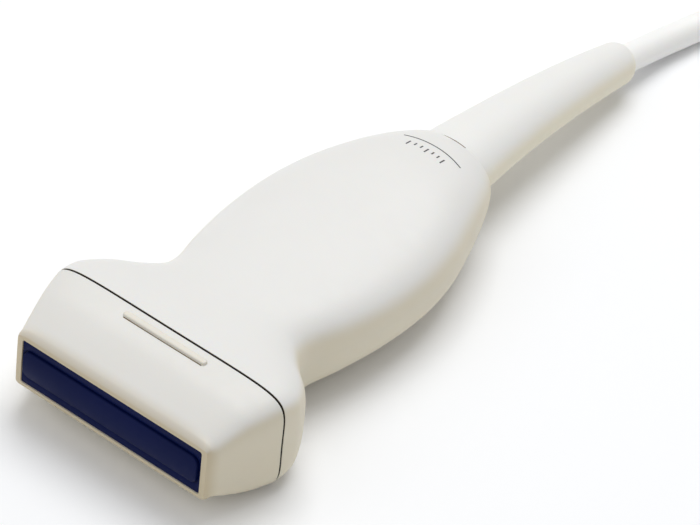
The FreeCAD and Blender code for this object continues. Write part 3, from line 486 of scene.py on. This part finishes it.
# ---------------------------------------------------------------- camera
def towards(azimuth, elevation):
    """A direction as a unit vector, with its azimuth counted from -Y towards +X; both angles in degrees."""
    azimuth, elevation = math.radians(azimuth), math.radians(elevation)
    return Vector((math.sin(azimuth) * math.cos(elevation), -math.cos(azimuth) * math.cos(elevation),
                   math.sin(elevation)))


def add_camera():
    """A long lens, above the front of the probe and towards +X, turned a little about its own axis and
    looking a little to the right of and above a point in the middle of the handle."""
    azimuth, elevation, roll = 36.328, 41.276, math.radians(5.612)
    distance, focal_length = 1100.0, 295.87
    aim = Vector((0, DATUM_Y + 50.9, MID_Z))
    offset_right, offset_up = 0.012039, 0.005011
    back = towards(azimuth, elevation)
    level = towards(azimuth + 90.0, 0.0)
    rise = back.cross(level)
    right = level * math.cos(roll) + rise * math.sin(roll)
    up = rise * math.cos(roll) - level * math.sin(roll)
    forward = (right * offset_right + up * offset_up - back).normalized()
    right = (right - forward * right.dot(forward)).normalized()
    up = right.cross(forward)
    data = bpy.data.cameras.new("camera")
    data.sensor_width = 36.0
    data.lens = focal_length
    data.clip_start, data.clip_end = 0.05, 50.0
    camera = bpy.data.objects.new("camera", data)
    turn = Matrix((right, up, -forward)).transposed().to_4x4()
    camera.matrix_world = Matrix.Translation((aim + back * distance) * MM) @ turn
    bpy.context.scene.collection.objects.link(camera)
    bpy.context.scene.camera = camera


# ---------------------------------------------------------------- the cable and its coil
def on_turn(angle, radius, z):
    """A point of the coil, in millimetres."""
    a = math.radians(angle)
    return Vector((COIL_X + radius * math.cos(a), COIL_Y + radius * math.sin(a), z))


def coil_points():
    """The turns, wound inwards and outwards in layers; they change place under the tie."""
    per_turn = 16
    step = 360.0 / per_turn
    to_curve = 1 / (0.75 + 0.25 * math.cos(2 * math.pi / per_turn))
    places = [(TURN_OUT, 0), (TURN_IN, 0), (TURN_IN, 1), (TURN_OUT, 1),
              (TURN_OUT, 2), (TURN_IN, 2), (TURN_IN, 3), (TURN_OUT, 3)]
    last = EXIT_ANGLE + 360.0 * 7
    steps = round((last - ENTRY_ANGLE) / step)
    points = []
    for index in range(steps + 1):
        angle = ENTRY_ANGLE + (last - ENTRY_ANGLE) * index / steps
        passed = min(max(math.ceil((angle - CROSSING_ANGLE) / 360.0), 0), len(places) - 1)
        radius, layer = places[passed]
        points.append(on_turn(angle, radius * to_curve, coil_low.z + CABLE_R + layer * CABLE_D))
    return points


def add_cable():
    """The whole cable, from the bend relief through the coil to the plug's boot, as one cord.
    Gives the piece and the two points where it leaves the probe and reaches the boot."""
    angle = BOOT_LENGTH / BOOT_BEND_R
    tip = Vector((0, HANDLE_END + DATUM_Y + BOOT_BEND_R * math.sin(angle),
                  MID_Z + BOOT_LIFT - BOOT_BEND_R * (1 - math.cos(angle))))
    droop = Vector((0, math.cos(angle), -math.sin(angle)))
    turns = coil_points()
    entry_run = Vector((1, 1, 0)).normalized() * ENTRY_RUN
    before_entry = on_turn(ENTRY_ANGLE, TURN_OUT, CABLE_R) - entry_run
    leave = on_turn(EXIT_ANGLE, TURN_OUT, turns[-1].z)
    exit_turn = math.radians(EXIT_ANGLE)
    corner = leave + Vector((-math.sin(exit_turn), math.cos(exit_turn), 0)) * TAIL_RUN
    corner.z = PLUG_AXIS_Z
    route = [
        tip,
        tip + droop * DROOP_RUN,
        Vector((2.0, DATUM_Y + 181.2, CABLE_R)),
        Vector((5.2, DATUM_Y + 196.0, CABLE_R)),
        before_entry,
        *turns,
        corner,
        corner + Vector((0, TAIL_RUN, 0)),
    ]
    curve = bpy.data.curves.new("probe_cable", "CURVE")
    curve.dimensions = "3D"
    curve.bevel_depth = CABLE_R * MM
    curve.bevel_resolution = 6
    curve.use_fill_caps = True
    spline = curve.splines.new("NURBS")
    spline.points.add(len(route) - 1)
    for point, where in zip(spline.points, route):
        point.co = (*(where * MM), 1.0)
    spline.order_u = 3
    spline.use_endpoint_u = True
    spline.resolution_u = 8
    cable = bpy.data.objects.new("probe_cable", curve)
    bpy.context.scene.collection.objects.link(cable)
    curve.materials.append(JACKET)
    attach(cable, "root")
    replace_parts(cable, "cable_lead", "cable_coil", "cable_tail")
    return cable, tip, route[-1]


# ---------------------------------------------------------------- lens
def add_lens():
    """Border, groove and raised cylindrical strip of the acoustic lens, as one skin with a flat back."""
    strip_x, strip_z, strip_corner, step = 21.5, 3.2, 1.6, 0.3
    clear, corner_r, edge_r = 0.04, 0.45, 0.12
    edge = ((0.035, 0.035), (0.12, 0.0))     # how far in and how deep, round the border
    groove = ((0.34, 0.0), (0.26, 0.05), (0.20, 0.16), (0.10, 0.20), (0.02, 0.18), (0.0, 0.10))
    round_r, levels, shoulder = 0.16, 20, 0.25
    back = lens_high.y - DATUM_Y
    domed = CROWN_RISE - step
    crown_r = (strip_z ** 2 + domed ** 2) / (2 * domed)
    half_x, half_z = LENS_HALF_X - clear, LENS_HALF_Z - clear

    def ring(x, z, radius, station):
        points = outline(x, z, z, lambda t, a, b: tight_corner(t, a, b, radius))
        return [place(a, station, MID_Z + b) for a, b in points]

    rings = [ring(half_x, half_z, corner_r, back), ring(half_x, half_z, corner_r, FACE + edge_r)]
    for inset, sunk in edge:
        rings.append(ring(half_x - inset, half_z - inset, corner_r - inset, FACE + sunk))
    for out, sunk in groove:
        rings.append(ring(strip_x + out, strip_z + out, strip_corner + out, FACE + sunk))
    for index in range(levels + 1):
        share = index / levels
        angle = math.pi / 2 * min(share / shoulder, 1.0)
        inset, lifted = round_r * (1 - math.cos(angle)), math.sin(angle)
        if share > shoulder:
            inset = round_r + (strip_z - round_r) * ((share - shoulder) / (1 - shoulder)) ** 1.3
        half = max(strip_z - inset, 0.002)
        radius = min(max(strip_corner - inset, 0.0) + 0.001, half)
        points = []
        for a, b in outline(strip_x - inset, half, half, lambda t, x, z: tight_corner(t, x, z, radius)):
            crown = step + math.sqrt(crown_r ** 2 - b ** 2) - (crown_r - domed)
            points.append(place(a, FACE - crown * lifted, MID_Z + b))
        rings.append(points)
    mesh = loft_mesh("lens_skin", rings)
    piece = new_piece("lens_skin", mesh, NAVY, smooth_angle=50.0)
    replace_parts(piece, "acoustic_lens")


# ---------------------------------------------------------------- nose shell and its finger mark
def nose_ring(station, drawn_in=0.0, squareness=0.0):
    """A ring of the nose; squareness 1 gives the tight corners of the lens window."""
    _, half_x, above, below, fullness = row_at(NOSE, station)

    def corner(t, x, rise):
        soft = soft_corner(t, x, rise, fullness)
        tight = tight_corner(t, x, rise, LIP_CORNER)
        return tuple(s + (q - s) * squareness for s, q in zip(soft, tight))

    points = outline(half_x - drawn_in, above - drawn_in, below - drawn_in, corner)
    return [place(x, station, MID_Z + z) for x, z in points]


def window_ring(grow, station):
    """The rim of the lens window, grown by a little."""
    radius = WINDOW_CORNER + grow
    points = outline(LENS_HALF_X + grow, LENS_HALF_Z + grow, LENS_HALF_Z + grow,
                     lambda t, x, z: tight_corner(t, x, z, radius))
    return [place(x, station, MID_Z + z) for x, z in points]


def add_nose():
    """The nose shell: its window, its rolled lip, its outside and the hollow behind the lens."""
    fine_end, squared_off = 2.8, 2.4
    rings = [window_ring(grow, station) for grow, station in (
        (0.0, 2.6), (0.0, LIP + 0.10), (0.03, LIP + 0.03), (0.10, LIP), (0.24, LIP), (0.34, LIP + 0.03))]
    plan = [(station, 0.0) for station in stations(LIP + 0.06, fine_end, 0.17)]
    plan += [(station, 0.0) for station in stations(fine_end + 0.2, SEAM_FRONT - 0.3, 0.6)]
    plan += rolled_edge(SEAM_FRONT, 0.08, -1)
    for station, drawn_in in plan:
        rings.append(nose_ring(station, drawn_in, max(0.0, 1 - (station - LIP) / squared_off) ** 1.5))
    rings.append(nose_ring(SEAM_FRONT, WALL))
    rings += [nose_ring(station, WALL) for station in stations(SEAM_FRONT - 0.5, 5.0, 1.5)]
    piece = new_piece("nose_skin", loft_mesh("nose_skin", rings, wrap=True), NOSE_IVORY)
    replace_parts(piece, "nose_shell")


def nose_top(x, station):
    """Height of the nose's upper surface, in millimetres."""
    return skin_height(row_at(NOSE, station), x)


def add_rib():
    """The raised finger mark: a smooth bar with round ends on the nose, and a dark strip along its front foot
    that is painted shadow.
    """
    middle_x, centre, half_length, half_width, proud, foot = 0.8, 15.1, 10.1, 0.65, 0.55, 0.14
    line_back, line_width, line_points = 0.15, 0.24, 31
    levels = [(foot, -0.02), (foot * 0.4, 0.03), (0.0, 0.14), (0.0, 0.36), (-0.05, 0.46),
              (-0.14, 0.52), (-0.30, 0.545), (-0.5, proud)]
    ends = 16
    rings = []
    for grow, height in [(foot, -0.6)] + levels:
        radius = half_width + grow
        straight = half_length - half_width
        ring = []
        for side in (1, -1):
            for i in range(ends + 1):
                angle = -math.pi / 2 + math.pi * i / ends
                x = middle_x + side * (straight + radius * math.cos(angle))
                y = centre + side * radius * math.sin(angle)
                ring.append(place(x, y, nose_top(x, y) + height))
        rings.append(ring)
    new_piece("orientation_rib", loft_mesh("orientation_rib", rings), SHADED_MARK_IVORY)
    # painted shadow: a dark strip along the rib's front foot, where its shade falls
    reach = half_length - 0.5
    line = [(middle_x - reach + 2 * reach * i / (line_points - 1), centre - half_width - line_back)
            for i in range(line_points)]
    mesh = ribbon("orientation_rib_painted_shadow", line, line_width, nose_top)
    new_piece("orientation_rib_painted_shadow", mesh, PAINTED_SHADOW_BROWN)


# ---------------------------------------------------------------- handle
def handle_half(side):
    """Closed C-shaped rings of one half of the handle's shell, outside and inside."""
    plan = [(station, drawn_in) for station, drawn_in in rolled_edge(SEAM_REAR, 0.08, 1)]
    plan += [(station, 0.0) for station in stations(SEAM_REAR + 0.4, HANDLE_END - 0.9, 0.7)]
    plan += rolled_edge(HANDLE_END, 0.7, -1, 7)
    rings = []
    for station, drawn_in in plan:
        _, half_x, above, below, fullness = row_at(HANDLE, min(station, HANDLE_END))
        outer = outline(half_x - drawn_in, above - drawn_in, below - drawn_in,
                        lambda t, x, z: soft_corner(t, x, z, fullness), side)
        mouth = min(max((station - MOUTH_START) / MOUTH_RAMP, 0.0), 1.0)
        sizes = [(half_x - WALL, BOOT_ROOT_X + MOUTH_GAP),
                 (above - WALL, BOOT_ROOT_Z + BOOT_LIFT + MOUTH_GAP),
                 (below - WALL, BOOT_ROOT_Z - BOOT_LIFT + MOUTH_GAP), (fullness, OVAL)]
        inner_x, inner_above, inner_below, inner_full = (a + (b - a) * mouth for a, b in sizes)
        inner = outline(inner_x, inner_above, inner_below,
                        lambda t, x, z: soft_corner(t, x, z, inner_full), side)
        rings.append([place(x, station, MID_Z + z) for x, z in outer + inner[::-1]])
    return rings


def add_handle():
    """Both halves of the handle's shell."""
    for name, side in (("handle_upper_skin", 1), ("handle_lower_skin", -1)):
        piece = new_piece(name, loft_mesh(name, handle_half(side)), IVORY)
        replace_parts(piece, name.replace("skin", "shell"))


def handle_top(x, station):
    """Height of the handle's upper surface, in millimetres."""
    return skin_height(row_at(HANDLE, station), x)


def ribbon(name, centre_line, width, surface, thickness=0.03, sink=0.02):
    """A thin strip that follows a surface along a line of (x, station) points."""
    rings = []
    befores, afters = centre_line[:1] + centre_line, centre_line[1:] + centre_line[-1:]
    for before, here, after in zip(befores, centre_line, afters):
        along = Vector((after[0] - before[0], after[1] - before[1])).normalized()
        ring = []
        for side, lift in ((-1, -sink), (1, -sink), (1, thickness), (-1, thickness)):
            x = here[0] - side * along.y * width / 2
            y = here[1] + side * along.x * width / 2
            ring.append(place(x, y, surface(x, y) + lift))
        rings.append(ring)
    return loft_mesh(name, rings)


def add_print():
    """The printed arc near the rear of the handle, and a row of plain ticks in front of it."""
    half, ends, middle, steps, arc_width = 7.1, 96.0, 97.1, 20, 0.24
    ticks, first, pitch, long_tick, short_tick, tick_width, tick_top = 7, -4.5, 1.4, 1.5, 0.9, 0.3, 95.2
    arc = [(half * i / steps, ends + (middle - ends) * (1 - (i / steps) ** 2))
           for i in range(-steps, steps + 1)]
    new_piece("printed_arc", ribbon("printed_arc", arc, arc_width, handle_top), INK)
    for index in range(ticks):
        x = first + index * pitch
        tall = long_tick if index % 3 == 0 else short_tick
        foot = tick_top - (x / half) ** 2
        line = [(x, foot - tall * i / 4) for i in range(5)]
        mesh = ribbon("printed_tick", line, tick_width, handle_top)
        new_piece("printed_tick_%d" % index, mesh, INK)


# ---------------------------------------------------------------- bend relief of the probe
def boot_ring(s, half_x, half_z):
    """An oval ring round the bend relief's line, at a distance s along it from the handle."""
    angle = max(s, 0.0) / BOOT_BEND_R
    centre = Vector((0, HANDLE_END + min(s, 0.0) + BOOT_BEND_R * math.sin(angle),
                     MID_Z + BOOT_LIFT - BOOT_BEND_R * (1 - math.cos(angle))))
    up = Vector((0, math.sin(angle), math.cos(angle)))
    ring = []
    for x, z in outline(half_x, half_z, half_z, lambda t, a, b: soft_corner(t, a, b, OVAL)):
        point = centre + Vector((1, 0, 0)) * x + up * z
        ring.append(place(*point))
    return ring


def add_boot():
    """The bend relief, and a dark strip along the top of its joint with the handle that is painted shadow,
    standing for the shade in the gap.
    """
    end_r = 2.4
    line_start, line_pitch, line_points, line_back, line_width = -4.8, 0.4, 20, 0.22, 0.22
    straight = BOOT_LENGTH - end_r
    rings = [boot_ring(-5.0, BOOT_ROOT_X, BOOT_ROOT_Z)]
    for s in stations(-1.0, straight, 1.1):
        share = max(s, 0.0) / straight
        taper = 1 - share - 0.10 * math.sin(math.pi * min(share, 1.0)) * (1 - share)
        rings.append(boot_ring(s, BOOT_TIP_R + (BOOT_ROOT_X - BOOT_TIP_R) * taper,
                               BOOT_TIP_R + (BOOT_ROOT_Z - BOOT_TIP_R) * taper))
    for i in range(1, 8):
        angle = math.pi / 2 * i / 7
        radius = BOOT_TIP_R - (BOOT_TIP_R - CABLE_R - 0.25) * (1 - math.cos(angle))
        rings.append(boot_ring(straight + end_r * math.sin(angle), radius, radius))
    for clear, back in ((0.12, 0.05), (0.06, 0.3), (0.06, 3.6)):
        rings.append(boot_ring(BOOT_LENGTH - back, CABLE_R + clear, CABLE_R + clear))
    piece = new_piece("strain_relief_skin", loft_mesh("strain_relief_skin", rings), BOOT)
    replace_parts(piece, "strain_relief")

    def boot_top(x, station):
        share = (station - HANDLE_END) / straight
        narrower = (BOOT_ROOT_X - BOOT_TIP_R) * share
        return skin_height((station, BOOT_ROOT_X - narrower, BOOT_ROOT_Z, BOOT_ROOT_Z, OVAL), x) + BOOT_LIFT

    # painted shadow: a dark strip where the gap between the bend relief and the handle is shaded
    line = [(line_start + line_pitch * i, HANDLE_END + line_back) for i in range(line_points)]
    mesh = ribbon("boot_joint_painted_shadow", line, line_width, boot_top)
    new_piece("boot_joint_painted_shadow", mesh, PAINTED_SHADOW_BROWN)


# ---------------------------------------------------------------- plug, its lock and the coil's tie
SHELL_POINTS = 120                   # points in a quarter of the plug's outline


def plate(half_x, half_y, radius, count=QUARTER):
    """Points (x, y) round a plate with rounded corners."""
    return outline(half_x, half_y, half_y, lambda t, x, y: tight_corner(t, x, y, radius), None, count)


def on_plug(points, z):
    """A ring at height z from points (x, y) about the plug's middle."""
    return [Vector((PLUG_X + x, PLUG_Y + y, z)) * MM for x, y in points]


def circle_like(points, radius):
    """A circle with a point in the direction of every point of an outline."""
    turn = [math.atan2(y, x) for x, y in points]
    return [(radius * math.cos(a), radius * math.sin(a)) for a in turn]


def shell_outline(inset, groove=0.0):
    """The plug's outline; groove is the depth of the finger grooves in its long sides."""
    pitch, reach = 3.3, 16.5
    half_x, half_y, radius = 23.0, 30.0, 7.0
    points = []
    for x, y in plate(half_x - inset, half_y - inset, radius - inset, SHELL_POINTS):
        if abs(y) < reach and groove:
            x -= math.copysign(groove * (0.5 + 0.5 * math.cos(2 * math.pi * y / pitch)), x)
        points.append((x, y))
    return points


def add_plug_shells():
    """Both halves of the plug's housing, with rounded rims, a parting line and grooves for the fingers."""
    low, high, rim, lip, wall = shell_low.z, shell_high.z, 2.0, 0.22, 2.0
    mouth_x, mouth_y, mouth_r, mouth_edge = 17.15, 24.15, 3.1, 0.3     # opening for the shroud
    bore_r, bore_edge = 5.22, 0.2                                      # hole for the lock's bush
    rim_steps, side_steps, groove_depth, margin = 8, 12, 0.5, 0.6
    for name, start, end in (("plug_lower_skin", low, PLUG_AXIS_Z), ("plug_upper_skin", high, PLUG_AXIS_Z)):
        way = 1 if end > start else -1
        if way > 0:
            mouth = plate(mouth_x, mouth_y, mouth_r, SHELL_POINTS)
            wider = plate(mouth_x + mouth_edge, mouth_y + mouth_edge, mouth_r + 0.2, SHELL_POINTS)
            rings = [on_plug(mouth, low + wall + 0.4), on_plug(mouth, low + mouth_edge), on_plug(wider, low)]
        else:
            bore, wider = (circle_like(shell_outline(rim), r) for r in (bore_r, bore_r + bore_edge))
            rings = [on_plug(bore, high - wall), on_plug(bore, high - bore_edge), on_plug(wider, high)]
        for i in range(rim_steps + 1):
            angle = math.pi / 2 * i / rim_steps
            inset, back = rim * (1 - math.sin(angle)), rim * (1 - math.cos(angle))
            rings.append(on_plug(shell_outline(inset), start + way * back))
        side = abs(end - start) - rim - margin - 1.0
        for i in range(side_steps + 1):
            share = i / side_steps
            depth = groove_depth * min(math.sin(math.pi * share) * 2.2, 1.0)
            rings.append(on_plug(shell_outline(0.0, depth), start + way * (rim + margin + share * side)))
        for inset, back in ((0.0, lip), (0.3 * lip, 0.3 * lip), (lip, 0.0), (wall, 0.0)):
            rings.append(on_plug(shell_outline(inset), end - way * back))
        rings.append(on_plug(shell_outline(wall), start + way * wall * 1.2))
        mesh = loft_mesh(name, rings, wrap=True)
        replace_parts(new_piece(name, mesh, GREY_PLASTIC), name.replace("skin", "shell"))


def add_knob():
    """The fluted knob with its finger bar, and a pointer on one end of the bar."""
    low, high, radius, shoulder = knob_low.z, knob_high.z, 14.0, knob_low.z + 4.1
    flutes, flute_depth, count = 30, 0.45, 240
    bar_half_x, bar_half_y, bar_corner, bar_waist, waist_reach = 4.0, radius - 0.5, 3.6, 0.55, 9.0
    well_r, well_edge, well_depth = 2.8, 0.15, 2.35
    pointer_half_x, pointer_half_y, pointer_y = 0.6, 2.6, 9.2
    turn = [2 * math.pi * i / count for i in range(count)]

    def disc(inset, flute):
        sizes = [radius - inset - flute * (0.5 + 0.5 * math.cos(flutes * a)) for a in turn]
        return [(r * math.cos(a), r * math.sin(a)) for r, a in zip(sizes, turn)]

    bore = radius - 3.6
    profile = [(bore, low, 0.0), (0.5, low, 0.0), (0.15, low + 0.15, 0.6), (0.0, low + 0.5, 1.0),
               (0.0, shoulder - 1.0, 1.0), (0.08, shoulder - 0.6, 0.9), (0.3, shoulder - 0.25, 0.6),
               (0.65, shoulder - 0.05, 0.2), (1.0, shoulder, 0.0), (bore, shoulder, 0.0)]
    rings = [on_plug(disc(inset, flute_depth * flute), z) for inset, z, flute in profile]
    disc_mesh = loft_mesh("lock_knob_disc", rings, wrap=True)
    knob = new_piece("lock_knob_skin", disc_mesh, KNOB_PLASTIC, "lock")
    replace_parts(knob, "lock_knob")

    def bar(inset):
        points = []
        for x, y in plate(bar_half_x - inset, bar_half_y - inset, bar_corner - inset, 2 * QUARTER):
            waist = bar_waist * math.cos(math.pi / 2 * min(abs(y) / waist_reach, 1.0)) ** 2
            points.append((x - math.copysign(min(waist, abs(x)), x), y))
        return points

    top = high - 0.06
    rings = [on_plug(bar(0.0), shoulder - 0.4)]
    for i in range(7):
        angle = math.pi / 2 * i / 6
        rings.append(on_plug(bar(1.0 - math.cos(angle)), top - 1.0 + math.sin(angle)))
    rings.append(on_plug(circle_like(bar(1.0), well_r + well_edge), top))
    well = circle_like(bar(1.0), well_r)
    rings += [on_plug(well, top - well_edge), on_plug(well, high - well_depth)]
    new_piece("lock_knob_bar", loft_mesh("lock_knob_bar", rings), KNOB_PLASTIC, "lock")
    mark = [(x, y + pointer_y) for x, y in plate(pointer_half_x, pointer_half_y, 0.55)]
    rings = [on_plug(mark, high - 0.3), on_plug(mark, high)]
    new_piece("lock_knob_pointer", loft_mesh("lock_knob_pointer", rings), IVORY, "lock")


def add_lock_marks():
    """A printed quarter circle round the knob, with a dot at its open end and a bar at its locked end."""
    radius, width, steps, gap = 17.6, 0.45, 40, 0.08
    sunk, raised = shell_high.z - 0.02, shell_high.z + 0.03
    rings = []
    for i in range(steps + 1):
        a = math.pi / 2 * (1 + gap + (1 - 2 * gap) * i / steps)
        across = [(r * math.cos(a), r * math.sin(a)) for r in (radius, radius + width)]
        rings.append(on_plug(across, sunk) + on_plug(across[::-1], raised))
    meshes = [loft_mesh("printed_quarter", rings)]
    for x, y, half_x, half_y in ((0.0, radius, 0.9, 0.9), (-radius, 0.0, 1.6, 0.5)):
        shape = [(x + a, y + b) for a, b in plate(half_x, half_y, min(half_x, half_y) * 0.95)]
        meshes.append(loft_mesh("printed_mark", [on_plug(shape, sunk), on_plug(shape, raised)]))
    new_piece("plug_lock_marks", join_meshes("plug_lock_marks", meshes), INK)


def add_plug_boot(tip):
    """The ringed boot between the tail of the cable and the plug."""
    length, tip_r, root_r, points = 24.0, 4.6, 7.4, 56
    pitch, depth, first_groove, grooves_start, grooves_end = 3.0, 0.9, 4.5, 3.0, 20.6
    turn = [2 * math.pi * i / points for i in range(points)]

    def ring(s, radius):
        across = [Vector((radius * math.cos(a), s, radius * math.sin(a))) for a in turn]
        return [(tip + point) * MM for point in across]

    rings = [ring(0.3, CABLE_R + 0.05), ring(0.0, CABLE_R + 0.3)]
    for i in range(1, 6):
        angle = math.pi / 2 * i / 5
        rings.append(ring(1 - math.cos(angle), CABLE_R + 0.3 + (tip_r - CABLE_R - 0.3) * math.sin(angle)))
    for s in stations(1.2, length, 0.2):
        groove = 0.0
        if grooves_start < s < grooves_end:
            groove = depth * max(0.0, math.cos(2 * math.pi * (s - first_groove) / pitch)) ** 0.7
        rings.append(ring(s, tip_r + (root_r - tip_r) * s / length - groove))
    rings += [ring(length + 1.0, 6.0), ring(length + 1.0, CABLE_R + 0.05)]
    mesh = loft_mesh("plug_boot_skin", rings, wrap=True)
    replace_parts(new_piece("plug_boot_skin", mesh, GREY_PLASTIC), "plug_boot")


def add_tie():
    """The hook-and-loop strap round the coil, a closed loop with its free end laid over the top."""
    centre, half = (tie_low + tie_high) / 2, (tie_high - tie_low) / 2
    trim = 0.25 * TIE_T / 2
    turns = (((1, 1), 0.0, trim), ((1, 1), trim, 0.0), ((1, -1), trim, 0.0), ((1, -1), 0.0, trim),
             ((-1, -1), 0.0, trim), ((-1, -1), trim, 0.0), ((-1, 1), trim, 0.0), ((-1, 1), 0.0, trim))

    def strip(x, z, nx, nz, thickness, half_width):
        """The strap's section, with trimmed edges, at (x, z) on its outer side, which faces (nx, nz)."""
        section = []
        for (outward, along_y), sunk, narrower in turns:
            out = (0.0 if outward > 0 else -thickness) - outward * sunk
            y = centre.y + along_y * (half_width - narrower)
            section.append(Vector((x + nx * out, y, z + nz * out)) * MM)
        return section

    loop = plate(half.x, half.z, TIE_CORNER)
    rings = []
    for index, (x, z) in enumerate(loop):
        before, after = loop[index - 1], loop[(index + 1) % len(loop)]
        along = Vector((after[0] - before[0], after[1] - before[1])).normalized()
        rings.append(strip(centre.x + x, centre.z + z, along.y, -along.x, TIE_T, half.y))
    meshes = [loft_mesh("tie_loop", rings, wrap=True)]
    steps, start, length, tongue = 14, 3.2, 7.6, 0.2
    rings = []
    for i in range(steps + 1):
        share = i / steps
        narrower = 0.4 + 3.0 * (max(0.0, share - (1 - tongue)) / tongue) ** 2
        lift = 0.5 if i else 0.1
        x = tie_low.x + start + length * share
        rings.append(strip(x, tie_high.z + lift, 0, 1, lift, half.y - narrower))
    meshes.append(loft_mesh("tie_end", rings))
    piece = new_piece("coil_tie_strap", join_meshes("coil_tie_strap", meshes), STRAP)
    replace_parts(piece, "coil_tie")


# ---------------------------------------------------------------- stage
def add_floor():
    """A plain pale studio floor."""
    made, tree, shader = material("studio_floor")
    tone = noise(tree, 3.0, 2.0)
    tree.links.new(ramp(tree, tone, [(0.3, (0.945, 0.95, 0.96)), (0.7, (0.955, 0.96, 0.97))]),
                   shader.inputs["Base Color"])
    shader.inputs["Roughness"].default_value = 0.9
    shader.inputs["Specular IOR Level"].default_value = 0.1
    bpy.ops.mesh.primitive_plane_add(size=60.0, location=(0, 0, 0))
    floor = bpy.context.object
    floor.name = "studio_floor"
    floor.data.materials.append(made)


def add_light(name, direction, distance, size, watts, colour):
    """A square soft light that shines at the probe from an azimuth and elevation."""
    back = towards(*direction)
    data = bpy.data.lights.new(name, "AREA")
    data.size = size
    data.energy = watts
    data.color = colour
    light = bpy.data.objects.new(name, data)
    light.location = back * distance
    light.rotation_mode = "QUATERNION"
    light.rotation_quaternion = (-back).to_track_quat("-Z", "Y")
    bpy.context.scene.collection.objects.link(light)


def add_world():
    """Even light from all round."""
    world = bpy.data.worlds.new("studio")
    world.use_nodes = True
    background = world.node_tree.nodes["Background"]
    background.inputs["Color"].default_value = (0.99, 0.987, 0.985, 1.0)
    background.inputs["Strength"].default_value = 0.455
    bpy.context.scene.world = world


bpy.context.scene.view_settings.view_transform = "Standard"
add_camera()
cable, cable_start, cable_end = add_cable()
finish_cad_nodes()
add_lens()
add_nose()
add_rib()
add_handle()
add_print()
add_boot()
add_plug_shells()
add_knob()
add_lock_marks()
add_plug_boot(cable_end)
add_tie()
add_floor()
add_world()
add_light("key", (206.0, 67.0), 1.6, 1.1, 16.6, (0.98, 0.99, 1.0))
add_light("fill", (330.0, 40.0), 1.6, 1.6, 4.6, (1.0, 1.0, 1.0))
